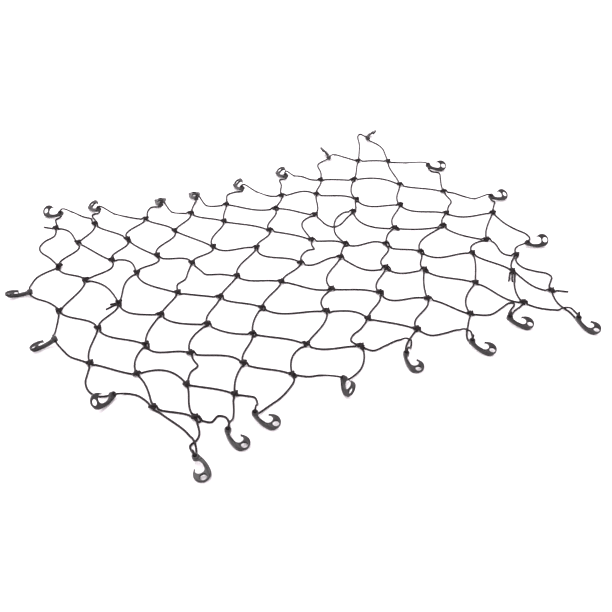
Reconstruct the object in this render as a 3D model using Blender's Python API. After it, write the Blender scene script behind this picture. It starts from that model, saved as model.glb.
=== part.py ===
"""An elastic cargo net with moulded hooks, lying loosely on a flat surface.

The netting is one elastic cord, knotted in rows of weaver's knots. Each row is half a mesh to
the side of the row before it, so the cells are diamonds. Two strands run on from every knot
to the next row. At the netting's edge they run out as loops, and a hook hangs on most loops,
its eye threaded on the cord.

The netting is one solid, with its knots raised on it. Each hook is a solid of its own.
X runs along the rows of knots, Y across them, and the net lies on z = 0. Sizes are in
millimetres up to the meshes, which are in metres.
"""

import math

import bmesh
import bpy
from mathutils import Euler, Matrix, Vector
from mathutils.bvhtree import BVHTree
from mathutils.geometry import (intersect_line_line_2d, intersect_point_line,
                                tessellate_polygon)
from mathutils.kdtree import KDTree

MM = 0.001

# --- the elastic cord and its netting --------------------------------------------------------

CORD = 3.6                  # side of the square cord, which stands for a round one of 4 mm
HALF_CORD = CORD / 2
HALF_MESH = 65.5            # half a cell's width, along the rows
ROW_STEP = 76.4             # from one row of knots to the next
ROWS = 10
KNOTS_IN_ROW = 8
FIRST_KNOT = (-447.0, 499.0)    # the even place of the first row's first knot
CENTRE_SHIFT = (-68.0, -163.0)      # brings the middle of the whole net to the origin

KNOT_WIDE = 8.6             # a tight knot, along the row
KNOT_LONG = 12.0            # and across it, the way that its strands leave
KNOT_HIGH = 8.4
CROWN_SHARE = 0.58          # the knot's flat top, as a share of its outline
ROOT_OUT = 0.8              # from the knot's outline out to its strands' roots
PORT_SPACING = 46.0         # least angle between two strands that leave one knot, degrees
OFF_SURFACE = 0.4           # a cord this far above its place on the surface is off it
SLACK_FLAT = 1.8            # a strand's mesh lies this near to its curve on the surface
SLACK_LIFTED = 0.55         # and this near where it leaves the surface
STRAND_START = 5.0          # from a knot's side to the first free section of its strand

# How far each knot lies from its even place, to the nearest 5 mm: one line for each row of
# knots, one column for each knot.
STRAY_ALONG_ROW = (
    # k1   k2   k3   k4   k5   k6   k7   k8
    (80, 35, 20, -5, -40, -30, -30, -15),
    (40, 15, -5, -15, -10, -15, -20, -10),
    (40, 20, -15, -20, -5, -5, -5, 5),
    (10, -15, -25, 0, -5, 20, 10, 15),
    (-5, -20, -30, -25, -10, -10, 0, 20),
    (-20, -25, -25, -15, 15, 5, 40, 55),
    (0, -20, -20, -30, 0, 15, -10, 25),
    (0, -20, -20, 15, 15, 20, 25, -25),
    (60, 5, -10, -10, 10, 25, 20, -10),
    (50, 5, -10, 15, 10, 5, -5, -55),
)
STRAY_ACROSS_ROW = (
    (65, 40, 5, -20, -20, -45, -15, 35),
    (50, 10, -5, -20, -20, -5, 20, 70),
    (45, 15, -15, -40, -35, -20, 0, 15),
    (40, 15, -5, -15, -45, 25, 0, 5),
    (30, 0, -25, -25, -45, -20, -15, -15),
    (10, -5, -5, -15, 10, 10, 15, 10),
    (-15, -10, -5, -5, -15, 0, 20, -10),
    (-10, 0, 0, -5, 0, 30, 35, -20),
    (-35, -5, 0, -5, 10, 10, 10, 10),
    (-20, 5, 5, 15, 10, 0, -20, -15),
)

# How far each strand swings from the straight line between its knots, at one third and at two
# thirds of its way to the next row: to the left when seen along that way. One line for each
# row of knots, one pair for each knot. None is a strand that isn't there, or has a route below.
SWING_RIGHT = (
    ((14, 8), (-2, 4), (0, 6), (-6, 0), (-8, -14), (12, 22), (4, 2), (4, 6)),
    ((0, -2), (-5, -4), (0, 2), (4, 8), (6, 2), (4, 12), (22, 22), None),
    ((-10, 0), (22, 16), (-2, 12), (-14, -2), (4, 6), None, (-26, -14), (-2, 4)),
    ((16, 12), (-16, -10), None, (-18, 0), (2, 8), (-28, -28), (-18, -6), None),
    ((-2, 8), (-20, -14), (0, 0), (-10, -2), (-12, 2), (-6, 10), (-8, -8), (-18, -10)),
    ((-10, -2), (-14, -10), (-4, 2), (-4, -10), (-16, -24), (-10, 0), (-12, -10), None),
    ((0, -2), (-14, -2), (-10, -10), (-16, -6), (4, 8), (-18, -12), (-22, -8), (0, -16)),
    ((24, 22), (6, 14), (2, 6), (12, 16), (-20, -4), (-10, -2), (-4, 2), None),
    ((0, 4), (2, 4), (-2, 2), (-12, -4), (2, 4), (4, 0), (-2, -10), (-8, -14)),
)
SWING_LEFT = (
    (None, (8, 4), (-6, -16), (6, 0), (-2, -4), (4, 2), (2, -2), (0, 2)),
    ((10, -4), (6, -6), (4, -10), (-4, -12), (4, -6), (2, 6), (-8, -10), (-4, 0)),
    (None, (18, 8), (14, 0), (6, -4), (4, -4), (-28, -18), (0, 4), (-4, -8)),
    ((6, 2), (-12, -6), None, (-4, -10), None, None, (-6, -12), None),
    (None, (4, -4), (0, -2), (0, -2), (2, -4), (-2, -2), (-8, -6), (-6, -6)),
    ((-4, -8), (-6, -8), (-2, -8), (0, -4), (-10, -18), (4, -10), (-12, -18), (-4, -6)),
    (None, (-10, -10), (-12, -14), (-6, -6), (-14, -16), (-6, -12), (0, -6), (-14, -16)),
    ((6, 4), None, (0, -6), (8, 4), (6, 0), (-4, -4), (4, 2), (-6, -6)),
    (None, (-2, -6), (-6, -6), (-14, -12), None, (2, -8), (-12, -14), (-4, -8)),
)

# Strands with a kink or a loop that no swing gives: row and knot that they leave, side, and
# the points that they pass.
KINKED = (
    (3, 2, "right", ((-138, 224), (-135, 208), (-105, 192))),
    (3, 2, "left", ((-165, 236), (-182, 211), (-204, 200))),
    (2, 5, "right", ((204, 304), (204, 272), (214, 254), (233, 256), (263, 276))),
    (3, 5, "left", ((276, 304), (252, 295), (232, 278), (213, 250), (201, 222))),
    (3, 4, "left", ((127, 204), (124, 188), (108, 190), (86, 177))),
    (8, 4, "left", ((75, -111), (54, -125), (32, -134), (19, -148))),
    (7, 1, "left", ((-273, -58), (-273, -77), (-291, -87))),
    (3, 7, "left", ((545, 252), (537, 223), (517, 207))),
)

# The loops round the netting's edge, in order: the hook that hangs on the loop, the knots that
# it leaves and ends in, the points before the hook's eye, the points after it, the face of
# the hook that the first stretch comes in by, and the stretch that passes beneath the shank.
# A loop with hook 0 carries none.
EDGE_LOOPS = (
    (1, (0, 0), (0, 1), ((-362, 580),), ((-312, 627), (-295, 590), (-280, 569)),
     "under", "before"),
    (2, (0, 1), (0, 2), ((-276, 562),), ((-224, 568), (-203, 540), (-183, 518)),
     "under", "before"),
    (3, (0, 2), (0, 3), ((-159, 513), (-149, 538), (-132, 556)), ((-97, 508), (-73, 488)),
     "under", ""),
    (4, (0, 3), (0, 4), ((-45, 503), (-31, 522)), ((-10, 500), (6, 486)), "under", ""),
    (5, (0, 4), (0, 5), ((46, 499), (61, 526)), ((132, 507), (152, 468)), "under", "before"),
    (6, (0, 5), (0, 6), ((186, 476), (206, 510)), ((260, 540), (275, 528), (288, 499)),
     "under", "before"),
    (7, (0, 6), (0, 7), ((330, 520), (346, 566), (358, 576)), ((421, 602), (434, 578)),
     "under", ""),
    (8, (0, 7), (1, 7), ((479, 569), (516, 627), (543, 679), (556, 688), (560, 668)),
     ((561, 607), (558, 570), (546, 541)), "upper", ""),
    (9, (1, 7), (3, 7), ((537, 481), (562, 465)), ((606, 370), (589, 340), (571, 312)),
     "upper", "after"),
    (10, (3, 7), (5, 7), ((568, 262), (581, 233), (597, 208)), ((633, 168), (614, 152)),
     "upper", "after"),
    (11, (5, 7), (7, 7), ((588, 112), (583, 70), (587, 36), (594, 10), (588, -12)),
     ((536, -27), (523, -36)), "under", ""),
    (0, (7, 7), (9, 7), ((493, -76), (490, -104), (505, -129), (519, -145), (519, -161),
                         (501, -177), (488, -188)), (), "", ""),
    (12, (9, 7), (9, 6), ((466, -230), (460, -250), (460, -268), (460, -282)),
     ((469, -292), (471, -280), (463, -270), (443, -262), (414, -237)), "under", ""),
    (13, (9, 6), (9, 5), ((386, -216), (368, -221), (352, -229)),
     ((348, -224), (363, -214), (375, -208), (381, -201), (373, -195), (350, -201), (311, -209)),
     "under", ""),
    (14, (9, 5), (9, 4), ((262, -204), (247, -220), (232, -236), (221, -252)),
     ((234, -252), (238, -240), (231, -226), (220, -218), (196, -216), (165, -208)),
     "under", ""),
    (15, (9, 4), (9, 3), ((141, -186), (124, -197), (103, -214)),
     ((108, -222), (119, -206), (104, -191), (70, -193), (40, -195)), "under", ""),
    (16, (9, 3), (9, 2), ((22, -190), (7, -214), (-13, -233)), ((-86, -210), (-105, -204)),
     "under", ""),
    (17, (9, 2), (9, 1), ((-134, -200), (-154, -217), (-180, -232), (-204, -240)),
     ((-221, -225), (-218, -208), (-226, -200)), "under", ""),
    (18, (9, 1), (9, 0), ((-255, -197), (-262, -214), (-274, -238)),
     ((-285, -244), (-285, -230), (-295, -221), (-312, -230)), "upper", ""),
    (19, (9, 0), (8, 0), ((-341, -247), (-351, -259), (-366, -266), (-368, -283)),
     ((-359, -276), (-357, -262), (-357, -248), (-359, -231), (-364, -213), (-376, -180)),
     "upper", ""),
    (20, (8, 0), (6, 0), ((-391, -126), (-401, -101), (-420, -86)),
     ((-462, -72), (-473, -50), (-471, -22), (-462, -3)), "upper", ""),
    (21, (6, 0), (4, 0), ((-461, 46), (-474, 64), (-482, 94)), ((-480, 154), (-467, 184)),
     "under", ""),
    (22, (4, 0), (2, 0), ((-454, 240), (-465, 268), (-481, 289)), ((-478, 350), (-458, 374)),
     "under", ""),
    (0, (2, 0), (0, 0), ((-416, 440), (-426, 471), (-424, 495), (-406, 517), (-381, 530)), (),
     "", ""),
)

# Free ends of the cord: the knot that they leave and the points that they pass.
FREE_ENDS = (
    ("corner end", (0, 0), ((-377, 570), (-391, 584))),
    ("corner end", (9, 7), ((489, -206), (509, -222))),
    ("cut end", (4, 1), ((-366, 184),)),
    ("cut end", (8, 7), ((427, -129),)),
)

# Where one strand passes over another: the upper strand and the lower one.
HOP_RISE = CORD + 1.0
HOP_REACH = 18.0            # along the upper strand, from the crossing to where it is down again
HOP_FLAT = 6.0              # along it, as far as it stays at its highest
HOPS = (
    ((3, 5, "left"), (2, 5, "right")),
    ((12, "edge"), (12, "edge")),
    ((14, "edge"), (14, "edge")),
    ((15, "edge"), (15, "edge")),
    ((19, "edge"), (19, "edge")),
)

# --- the hooks -------------------------------------------------------------------------------

# The outline's own axes: x from the eye to the nose, y to the side that the mouth opens on.
HEAD_CENTRE = (34.5, 1.8)
HEAD_RADIUS = 15.0
MOUTH_CENTRE = (25.0, 2.7)
MOUTH_RADIUS = 8.3
WINDOW_CENTRE = (42.3, 2.2)
WINDOW_RADIUS = 6.6
EYE_RADIUS = 3.2
BOSS_RADIUS = 6.2
SPINE_THICK = 8.0
HEAD_THICK = 5.0
THIN_FROM, THIN_TO = 14.0, 30.0     # along x, where the spine's thickness runs down to the head's
SPINE_DEEP = -8.0                   # below this y the rim keeps the spine's thickness

# One line for each hook: its number, the place of its eye, the way its nose points, how far
# the nose is raised, and how far it is rolled about its own length, in mm and degrees.
HOOKS = (
    # no    x     y  heading  nose  roll
    (1, -342, 609, 133, -5, 132),
    (2, -256, 584, 99, -9, 147),
    (3, -113, 538, 76, -12, 173),
    (4, -23, 530, 79, -10, 180),
    (5, 99, 520, 85, -6, 142),
    (6, 230, 530, 89, -6, 146),
    (7, 388, 579, 80, 5, 47),
    (8, 549, 635, 40, 1, 143),
    (9, 592, 402, 331, -6, 40),
    (10, 626, 180, 353, -6, 38),
    (11, 559, -34, 336, 4, 50),
    (12, 447, -316, 283, -10, 14),
    (13, 328, -248, 309, -10, 18),
    (14, 214, -274, 300, -10, 14),
    (15, 82, -244, 267, -10, 5),
    (16, -57, -248, 254, 4, 52),
    (17, -241, -257, 301, -10, 12),
    (18, -299, -272, 284, -10, 4),
    (19, -371, -304, 268, -10, 190),
    (20, -440, -86, 207, 12, 124),
    (21, -489, 115, 185, -4, 62),
    (22, -490, 309, 169, 4, 54),
)

# Where the cord runs through an eye, off the middle of the eye's bore.
PASS_OUT = 7.6              # the turn outside each face
PASS_IN = SPINE_THICK / 2 + 0.6
SHOULDER_OUT = 7.4          # the shoulder over the boss's rim
SHOULDER_ALONG = 9.6
STRAIGHT_ENOUGH = 0.3      # cosine to the bore's axis past which there is no shoulder
BENEATH_SHANK = ((3.0, 1.0), (7.0, -8.0), (10.0, -18.0))   # on the surface, in a hook's axes

APART = 5.2                 # between the middles of two strands that lie side by side
KNOT_APART = 10.5           # between a strand's middle and a knot that it passes
APART_STEP = 3.0
APART_ROUNDS = 30
OWN_PUSH, NEXT_PUSH = 0.6, 0.3      # how a push is shared with the points beside it
ROOT_REACH = 9.0            # along a strand from its knot's middle, where it can't be moved

CLEAR = 0.75                # least space between the cord and a hook, or the cord and itself
EASE_STEP = 2.5             # spacing of the points that are eased clear
EASE_ROUNDS = 60
LAST_ROUNDS = 4             # of those, without smoothing
UNBEND = 0.3                # how far a point goes in one round to take out too tight a bend
TIGHTEST = math.radians(32) # the most that the cord turns in one such step
EASE_REACH = 40.0           # along the cord, from an eye, as far as the cord is eased

# --- finishes --------------------------------------------------------------------------------

CORD_BLACK = (0.035, 0.031, 0.030, 1.0)
HOOK_BLACK = (0.030, 0.029, 0.030, 1.0)


def clear_scene():
    for thing in list(bpy.data.objects):
        bpy.data.objects.remove(thing)


def plastic(name, colour, roughness):
    material = bpy.data.materials.new(name)
    material.use_nodes = True
    shader = material.node_tree.nodes["Principled BSDF"]
    shader.inputs["Base Color"].default_value = colour
    shader.inputs["Roughness"].default_value = roughness
    shader.inputs["Metallic"].default_value = 0.0
    return material


def on_floor(point):
    """A cord's middle where it lies on the surface below a point of the plan."""
    return Vector((point[0], point[1], HALF_CORD))


# --- hook shape and places -------------------------------------------------------------------

def arc(centre, radius, start, end, steps):
    points = []
    for step in range(steps + 1):
        angle = math.radians(start + (end - start) * step / steps)
        points.append((centre[0] + radius * math.cos(angle), centre[1] + radius * math.sin(angle)))
    return points


def circle(centre, radius, steps, start=0):
    return arc(centre, radius, start, start + 360, steps)[:-1]


def hook_outline():
    """The beak's tip, the head's back, the spine's curve, the boss and the mouth."""
    outline = arc(HEAD_CENTRE, HEAD_RADIUS, 150, -90, 10)
    outline += [(24.0, -13.0), (14.0, -11.2), (5.0, -8.2)]
    outline += arc((0, 0), BOSS_RADIUS, 238, 40, 5)
    outline += [(7.4, -1.6)]
    outline += arc(MOUTH_CENTRE, MOUTH_RADIUS, -100, 118, 7)
    return outline


def hook_thickness(x, y):
    if y < SPINE_DEEP:
        return SPINE_THICK
    share = min(1.0, max(0.0, (x - THIN_FROM) / (THIN_TO - THIN_FROM)))
    return SPINE_THICK + (HEAD_THICK - SPINE_THICK) * share


def hook_mesh():
    """One hook about its eye: two faces, the wall round them, and two bores' walls."""
    loops = [hook_outline(), circle((0, 0), EYE_RADIUS, 8, 22.5),
             circle(WINDOW_CENTRE, WINDOW_RADIUS, 8)]
    flat = [point for loop in loops for point in loop]
    mesh = bmesh.new()
    top = [mesh.verts.new((x * MM, y * MM, hook_thickness(x, y) / 2 * MM)) for x, y in flat]
    bottom = [mesh.verts.new((x * MM, y * MM, -hook_thickness(x, y) / 2 * MM)) for x, y in flat]
    for corners in tessellate_polygon([[Vector((x, y, 0)) for x, y in loop] for loop in loops]):
        mesh.faces.new([top[i] for i in corners])
        mesh.faces.new([bottom[i] for i in reversed(corners)])
    flat_edges = [edge for edge in mesh.edges if len(edge.link_faces) == 2]
    bmesh.ops.beautify_fill(mesh, faces=mesh.faces[:], edges=flat_edges, method="ANGLE")
    first = 0
    for loop in loops:
        count = len(loop)
        for step in range(count):
            a, b = first + step, first + (step + 1) % count
            mesh.faces.new((top[a], bottom[a], bottom[b], top[b]))
        first += count
    bmesh.ops.recalc_face_normals(mesh, faces=mesh.faces)
    data = bpy.data.meshes.new("hook")
    mesh.to_mesh(data)
    mesh.free()
    data.shade_smooth()
    data.set_sharp_from_angle(angle=math.radians(40))
    return data


def hook_places(data):
    """Each hook's matrix: turned as the table says, its lowest point on the surface."""
    places = {}
    for number, x, y, heading, nose, roll in HOOKS:
        turn = Euler((math.radians(roll), math.radians(-nose), math.radians(heading))).to_matrix()
        lowest = min((turn @ vertex.co).z for vertex in data.vertices)
        places[number] = Matrix.Translation((x * MM, y * MM, -lowest)) @ turn.to_4x4()
    return places


# --- routes of the cord ----------------------------------------------------------------------

def smooth(points, steps=8):
    """A smooth curve through points: centripetal Catmull-Rom, mirrored past its ends."""
    ends = [2 * points[0] - points[1]] + list(points) + [2 * points[-1] - points[-2]]
    curve = []
    for before, start, end, after in zip(ends, ends[1:], ends[2:], ends[3:]):
        k1 = max((start - before).length, 0.01) ** 0.5
        k2 = k1 + max((end - start).length, 0.01) ** 0.5
        k3 = k2 + max((after - end).length, 0.01) ** 0.5
        for step in range(steps):
            k = k1 + (k2 - k1) * step / steps
            a1 = before.lerp(start, k / k1)
            a2 = start.lerp(end, (k - k1) / (k2 - k1))
            a3 = end.lerp(after, (k - k2) / (k3 - k2))
            b1 = a1.lerp(a2, k / k2)
            b2 = a2.lerp(a3, (k - k1) / (k3 - k1))
            curve.append(b1.lerp(b2, (k - k1) / (k2 - k1)))
    curve.append(points[-1].copy())
    return curve


def swung(start, end, third, two_thirds, steps=16):
    """A cubic between two knots that passes the two swings, each at its third of the way."""
    way = end - start
    left = Vector((-way.y, way.x, 0)).normalized()
    curve = []
    for step in range(steps + 1):
        t = step / steps
        swing = 27 / 2 * t * (1 - t) * (third * (2 / 3 - t) + two_thirds * (t - 1 / 3))
        curve.append(start + way * t + left * swing)
    return curve


def knot_places():
    places = {}
    for row in range(ROWS):
        for place in range(KNOTS_IN_ROW):
            x = FIRST_KNOT[0] + (2 * place + row % 2) * HALF_MESH + STRAY_ALONG_ROW[row][place]
            y = FIRST_KNOT[1] - row * ROW_STEP + STRAY_ACROSS_ROW[row][place]
            places[row, place] = on_floor((x, y))
    return places


def next_knot(row, place, side):
    """The knot of the next row that a strand runs to."""
    if side == "right":
        return row + 1, place + row % 2
    return row + 1, place + row % 2 - 1


def inner_strands(knots):
    strands = {}
    for row in range(ROWS - 1):
        for place in range(KNOTS_IN_ROW):
            for side, swings in (("right", SWING_RIGHT), ("left", SWING_LEFT)):
                swing = swings[row][place]
                if swing:
                    end = next_knot(row, place, side)
                    strands[row, place, side] = (
                        (row, place), end, swung(knots[row, place], knots[end], *swing))
    for row, place, side, points in KINKED:
        end = next_knot(row, place, side)
        route = [knots[row, place]] + [on_floor(point) for point in points] + [knots[end]]
        strands[row, place, side] = ((row, place), end, smooth(route))
    return strands


def through_eye(matrix, before, after, face):
    """The cord's stretch into a hook's eye and the one out of it, from its bore's middle."""
    eye = matrix.translation / MM
    up = (matrix.to_3x3() @ Vector((0, 0, 1))).normalized()
    if (up.z < 0) != (face == "under"):
        up = -up
    stretches = []
    for out, outside in ((up, before), (-up, after)):
        way = outside - eye
        stretch = [eye, eye + out * PASS_IN, eye + out * PASS_OUT]
        if way.normalized().dot(out) < STRAIGHT_ENOUGH:
            way = (way - out * way.dot(out)).normalized()
            stretch.append(eye + out * SHOULDER_OUT + way * SHOULDER_ALONG)
        stretches.append(stretch)
    return stretches[0][::-1], stretches[1]


def evenly(path, step):
    """The same path with its points one step apart, or nearly."""
    runs = [0.0]
    for a, b in zip(path, path[1:]):
        runs.append(runs[-1] + (b - a).length)
    count = max(2, round(runs[-1] / step))
    result, i = [], 0
    for k in range(count + 1):
        run = runs[-1] * k / count
        while i < len(path) - 2 and runs[i + 1] < run:
            i += 1
        share = (run - runs[i]) / max(runs[i + 1] - runs[i], 1e-9)
        result.append(path[i].lerp(path[i + 1], min(1.0, share)))
    return result


def within(tree, place):
    """True for a place inside a closed mesh: the way up from it meets an odd count of faces."""
    count = 0
    while True:
        hit = tree.ray_cast(place, Vector((0, 0, 1)))[0]
        if hit is None:
            return count % 2 == 1
        count += 1
        place = hit + Vector((0, 0, 1e-6))


def ease_clear(path, eye_at, tree):
    """Moves a path's points off the hook that it runs through, and off the path itself.

    The bore's points stay. Each move is shared with the points beside it, so that the cord
    keeps smooth bends.
    """
    bore = path[eye_at]
    reach = int(EASE_REACH / EASE_STEP)
    free = [i for i in range(max(1, eye_at - reach), min(len(path) - 1, eye_at + reach + 1))
            if (path[i] - bore).length > PASS_IN + 0.1]
    start = [point.copy() for point in path]
    moves = [Vector() for _ in path]
    thick = CORD * math.sqrt(0.5)
    for turn in range(EASE_ROUNDS):
        smoothing = turn < EASE_ROUNDS - LAST_ROUNDS
        for i in free:
            point = start[i] + moves[i]
            before, after = start[i - 1] + moves[i - 1], start[i + 1] + moves[i + 1]
            if smoothing and (point - before).angle(after - point) > TIGHTEST:
                point = point.lerp((before + after) / 2, UNBEND)
            place, normal, _, away = tree.find_nearest(point * MM)
            away /= MM
            off = point - place / MM
            if away < 1e-3:
                point = place / MM + normal * (thick + CLEAR)
            elif within(tree, point * MM):
                point = place / MM - off.normalized() * (thick + CLEAR)
            elif away < thick + CLEAR:
                point = place / MM + off.normalized() * (thick + CLEAR)
            for j in free:
                if abs(i - j) * EASE_STEP > 4 * CORD:
                    gap = point - (start[j] + moves[j])
                    if gap.length < 2 * thick + CLEAR:
                        point += gap.normalized() * (2 * thick + CLEAR - gap.length) / 2
            point.z = max(point.z, HALF_CORD)
            moves[i] = point - start[i]
        if smoothing:
            eased = [move.copy() for move in moves]
            for i in free:
                eased[i] = (2 * moves[i] + moves[i - 1] + moves[i + 1]) / 4
            moves = eased
    return [point + move for point, move in zip(start, moves)]


def edge_strands(knots, places, hook):
    strands = {}
    for order, row in enumerate(EDGE_LOOPS):
        number, start, end, before, after, face, beneath = row
        route = [knots[start]] + [on_floor(point) for point in before]
        rest = [on_floor(point) for point in after] + [knots[end]]
        if not number:
            strands[-order, "edge"] = (start, end, smooth(route + rest[len(after):]))
            continue
        matrix = places[number]
        under = [on_floor(matrix @ Vector((x * MM, y * MM, 0)) / MM) for x, y in BENEATH_SHANK]
        if beneath == "before":
            route += under[::-1]
        elif beneath == "after":
            rest = under + rest
        into, out = through_eye(matrix, route[-1], rest[0], face)
        first = evenly(smooth(route + into), EASE_STEP)
        second = evenly(smooth(out + rest), EASE_STEP)
        tree = BVHTree.FromPolygons([matrix @ vertex.co for vertex in hook.vertices],
                                    [tuple(face.vertices) for face in hook.polygons])
        strands[number, "edge"] = (
            start, end, ease_clear(first + second[1:], len(first) - 1, tree))
    return strands


def free_ends(knots):
    strands = {}
    for order, (kind, start, points) in enumerate(FREE_ENDS):
        route = [knots[start]] + [on_floor(point) for point in points]
        strands[order, kind] = (start, None, smooth(route))
    return strands


def ease_apart(strands, knots):
    """Moves strands sideways off each other and off the knots that they pass.

    Near its own knots a strand stays, and so does a stretch that is lifted off the surface.
    """
    paths = {key: evenly(path, APART_STEP) for key, (_, _, path) in strands.items()}
    moves = {key: [Vector() for _ in path] for key, path in paths.items()}
    root = int(ROOT_REACH / APART_STEP)
    for turn in range(APART_ROUNDS):
        points = [(key, i, paths[key][i] + moves[key][i])
                  for key in paths for i in range(len(paths[key]))]
        tree = KDTree(len(points))
        for index, (_, _, point) in enumerate(points):
            tree.insert(point, index)
        tree.balance()
        pushes = {key: [Vector() for _ in path] for key, path in paths.items()}
        for key, i, point in points:
            last = len(paths[key]) - 1
            if i < root or i > last - root or point.z > HALF_CORD + OFF_SURFACE:
                continue
            for _, index, away in tree.find_range(point, APART):
                other, j, place = points[index]
                if other == key and abs(i - j) * APART_STEP < 3 * APART:
                    continue
                if (key, other) in HOPS or (other, key) in HOPS:
                    continue
                gap = Vector((point.x - place.x, point.y - place.y, 0))
                if place.z < HALF_CORD + OFF_SURFACE and gap.length > 1e-3:
                    pushes[key][i] += gap.normalized() * (APART - away) / 2
            for knot, centre in knots.items():
                gap = point - centre
                if abs(gap.x) < KNOT_APART and gap.length < KNOT_APART:
                    if knot not in strands[key][:2] or min(i, last - i) > 3 * root:
                        pushes[key][i] += gap.normalized() * (KNOT_APART - gap.length) / 2
        for key, path in paths.items():
            for i in range(root, len(path) - root):
                push = pushes[key][i] * OWN_PUSH
                push += (pushes[key][i - 1] + pushes[key][i + 1]) * NEXT_PUSH
                moves[key][i] += push
    for key, (start, end, _) in strands.items():
        moved = [point + move for point, move in zip(paths[key], moves[key])]
        strands[key] = (start, end, moved)


def crossing(path, below):
    """The point of a path where it crosses another, or itself, at too little height."""
    for i in range(1, len(path) - 1):
        for j in range(1, i - 1 if path is below else len(below) - 1):
            if abs(path[i].z - below[j].z) < HOP_RISE and (path[i] - below[j]).length < HOP_REACH:
                if intersect_line_line_2d(path[i].xy, path[i + 1].xy, below[j].xy, below[j + 1].xy):
                    return i
    raise ValueError("these strands don't cross")


def lift_hops(strands):
    """Raises each upper strand where it passes over its lower one, or over itself."""
    for upper, lower in HOPS:
        path = strands[upper][2]
        middle = crossing(path, strands[lower][2])
        for way in (1, -1):
            run, i = 0.0, middle
            while 0 <= i < len(path) and run < HOP_REACH:
                share = min(1.0, (HOP_REACH - run) / (HOP_REACH - HOP_FLAT))
                rise = HOP_RISE * share * share * (3 - 2 * share)
                path[i].z = max(path[i].z, HALF_CORD + rise)
                i += way
                run += (path[i].xy - path[i - way].xy).length if 0 <= i < len(path) else 0


# --- the netting's mesh ----------------------------------------------------------------------

def thin_out(path):
    """Keeps the fewest points of a path that leave no point further off it than allowed.

    The allowance is the smaller one where the cord is off the surface.
    """
    if len(path) < 3:
        return path
    first, last = path[0], path[-1]
    away = []
    for point in path[1:-1]:
        share = intersect_point_line(point, first, last)[1]
        nearest = first.lerp(last, min(1.0, max(0.0, share)))
        slack = SLACK_LIFTED if point.z > HALF_CORD + OFF_SURFACE else SLACK_FLAT
        away.append((point - nearest).length / slack)
    worst = max(range(len(away)), key=away.__getitem__)
    if away[worst] <= 1:
        return [first, last]
    middle = worst + 1
    return thin_out(path[:middle + 1])[:-1] + thin_out(path[middle:])


def leave_angle(centre, path):
    """The way that a path leaves a knot, in degrees, and its first point clear of it."""
    for i, point in enumerate(path):
        if (point.xy - centre.xy).length > KNOT_LONG / 2 + STRAND_START:
            way = point.xy - centre.xy
            return math.degrees(math.atan2(way.y, way.x)) % 360, i
    raise ValueError("a strand never leaves its knot")


def spread(angles):
    """Pushes the strands that leave one knot apart until each has room for its root."""
    order = sorted(range(len(angles)), key=lambda i: angles[i])
    spaced = [angles[i] for i in order]
    for _ in range(60):
        for i in range(len(spaced)):
            j = (i + 1) % len(spaced)
            gap = (spaced[j] - spaced[i]) % 360
            if gap < PORT_SPACING or gap > 359.999:
                push = (PORT_SPACING - gap % 360) / 2 + 0.01
                spaced[i] -= push
                spaced[j] += push
    result = [0.0] * len(angles)
    for i, angle in zip(order, spaced):
        result[i] = angle % 360
    return result


def knot_radius(angle):
    """A knot's outline is an ellipse, longer across the rows."""
    c, s = math.cos(math.radians(angle)), math.sin(math.radians(angle))
    return 1 / math.sqrt((c / (KNOT_WIDE / 2)) ** 2 + (s / (KNOT_LONG / 2)) ** 2)


def add_knot(mesh, centre, angles):
    """Adds a knot's body and gives back the four corners of each strand's root.

    A root's corners run round it: low and clockwise, low and counterclockwise, high and
    counterclockwise, high and clockwise, as the strand is seen from above.
    """
    order = sorted(range(len(angles)), key=lambda i: angles[i])
    roots = [None] * len(angles)
    crown = []
    for i in order:
        angle = math.radians(angles[i])
        way = Vector((math.cos(angle), math.sin(angle), 0))
        side = Vector((-way.y, way.x, 0))
        reach = knot_radius(angles[i]) + ROOT_OUT
        root = []
        for turn, z in ((-1, 0.0), (1, 0.0), (1, CORD), (-1, CORD)):
            place = Vector((centre.x, centre.y, z)) + way * reach + side * turn * HALF_CORD
            root.append(mesh.verts.new(place * MM))
        roots[i] = root
        for turn in (-1, 1):
            place = Vector((centre.x, centre.y, KNOT_HIGH))
            place += (way * reach + side * turn * HALF_CORD) * CROWN_SHARE
            crown.append(mesh.verts.new(place * MM))
    ring = [corner for i in order for corner in (roots[i][0], roots[i][1])]
    rim = [corner for i in order for corner in (roots[i][3], roots[i][2])]
    mesh.faces.new(list(reversed(ring)))
    mesh.faces.new(crown)
    count = len(ring)
    for i in range(count):
        j = (i + 1) % count
        mesh.faces.new((rim[i], rim[j], crown[j], crown[i]))
        if i % 2:
            mesh.faces.new((ring[i], ring[j], rim[j], rim[i]))
    return roots


def section(point, way, side):
    """The four corners of the cord's section, in a root's order."""
    side = (side - way * side.dot(way)).normalized()
    up = way.cross(side)
    return [point + side * a * HALF_CORD + up * b * HALF_CORD
            for a, b in ((-1, -1), (1, -1), (1, 1), (-1, 1))]


def squared(side, way, height):
    """Turns a section's side so that the cord lies flat on the surface."""
    side = (side - way * side.dot(way)).normalized()
    if height > CORD:
        return side
    level = Vector((-way.y, way.x, 0)).normalized()
    upright = way.cross(level)
    return max((level, upright, -level, -upright), key=lambda choice: choice.dot(side))


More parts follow.
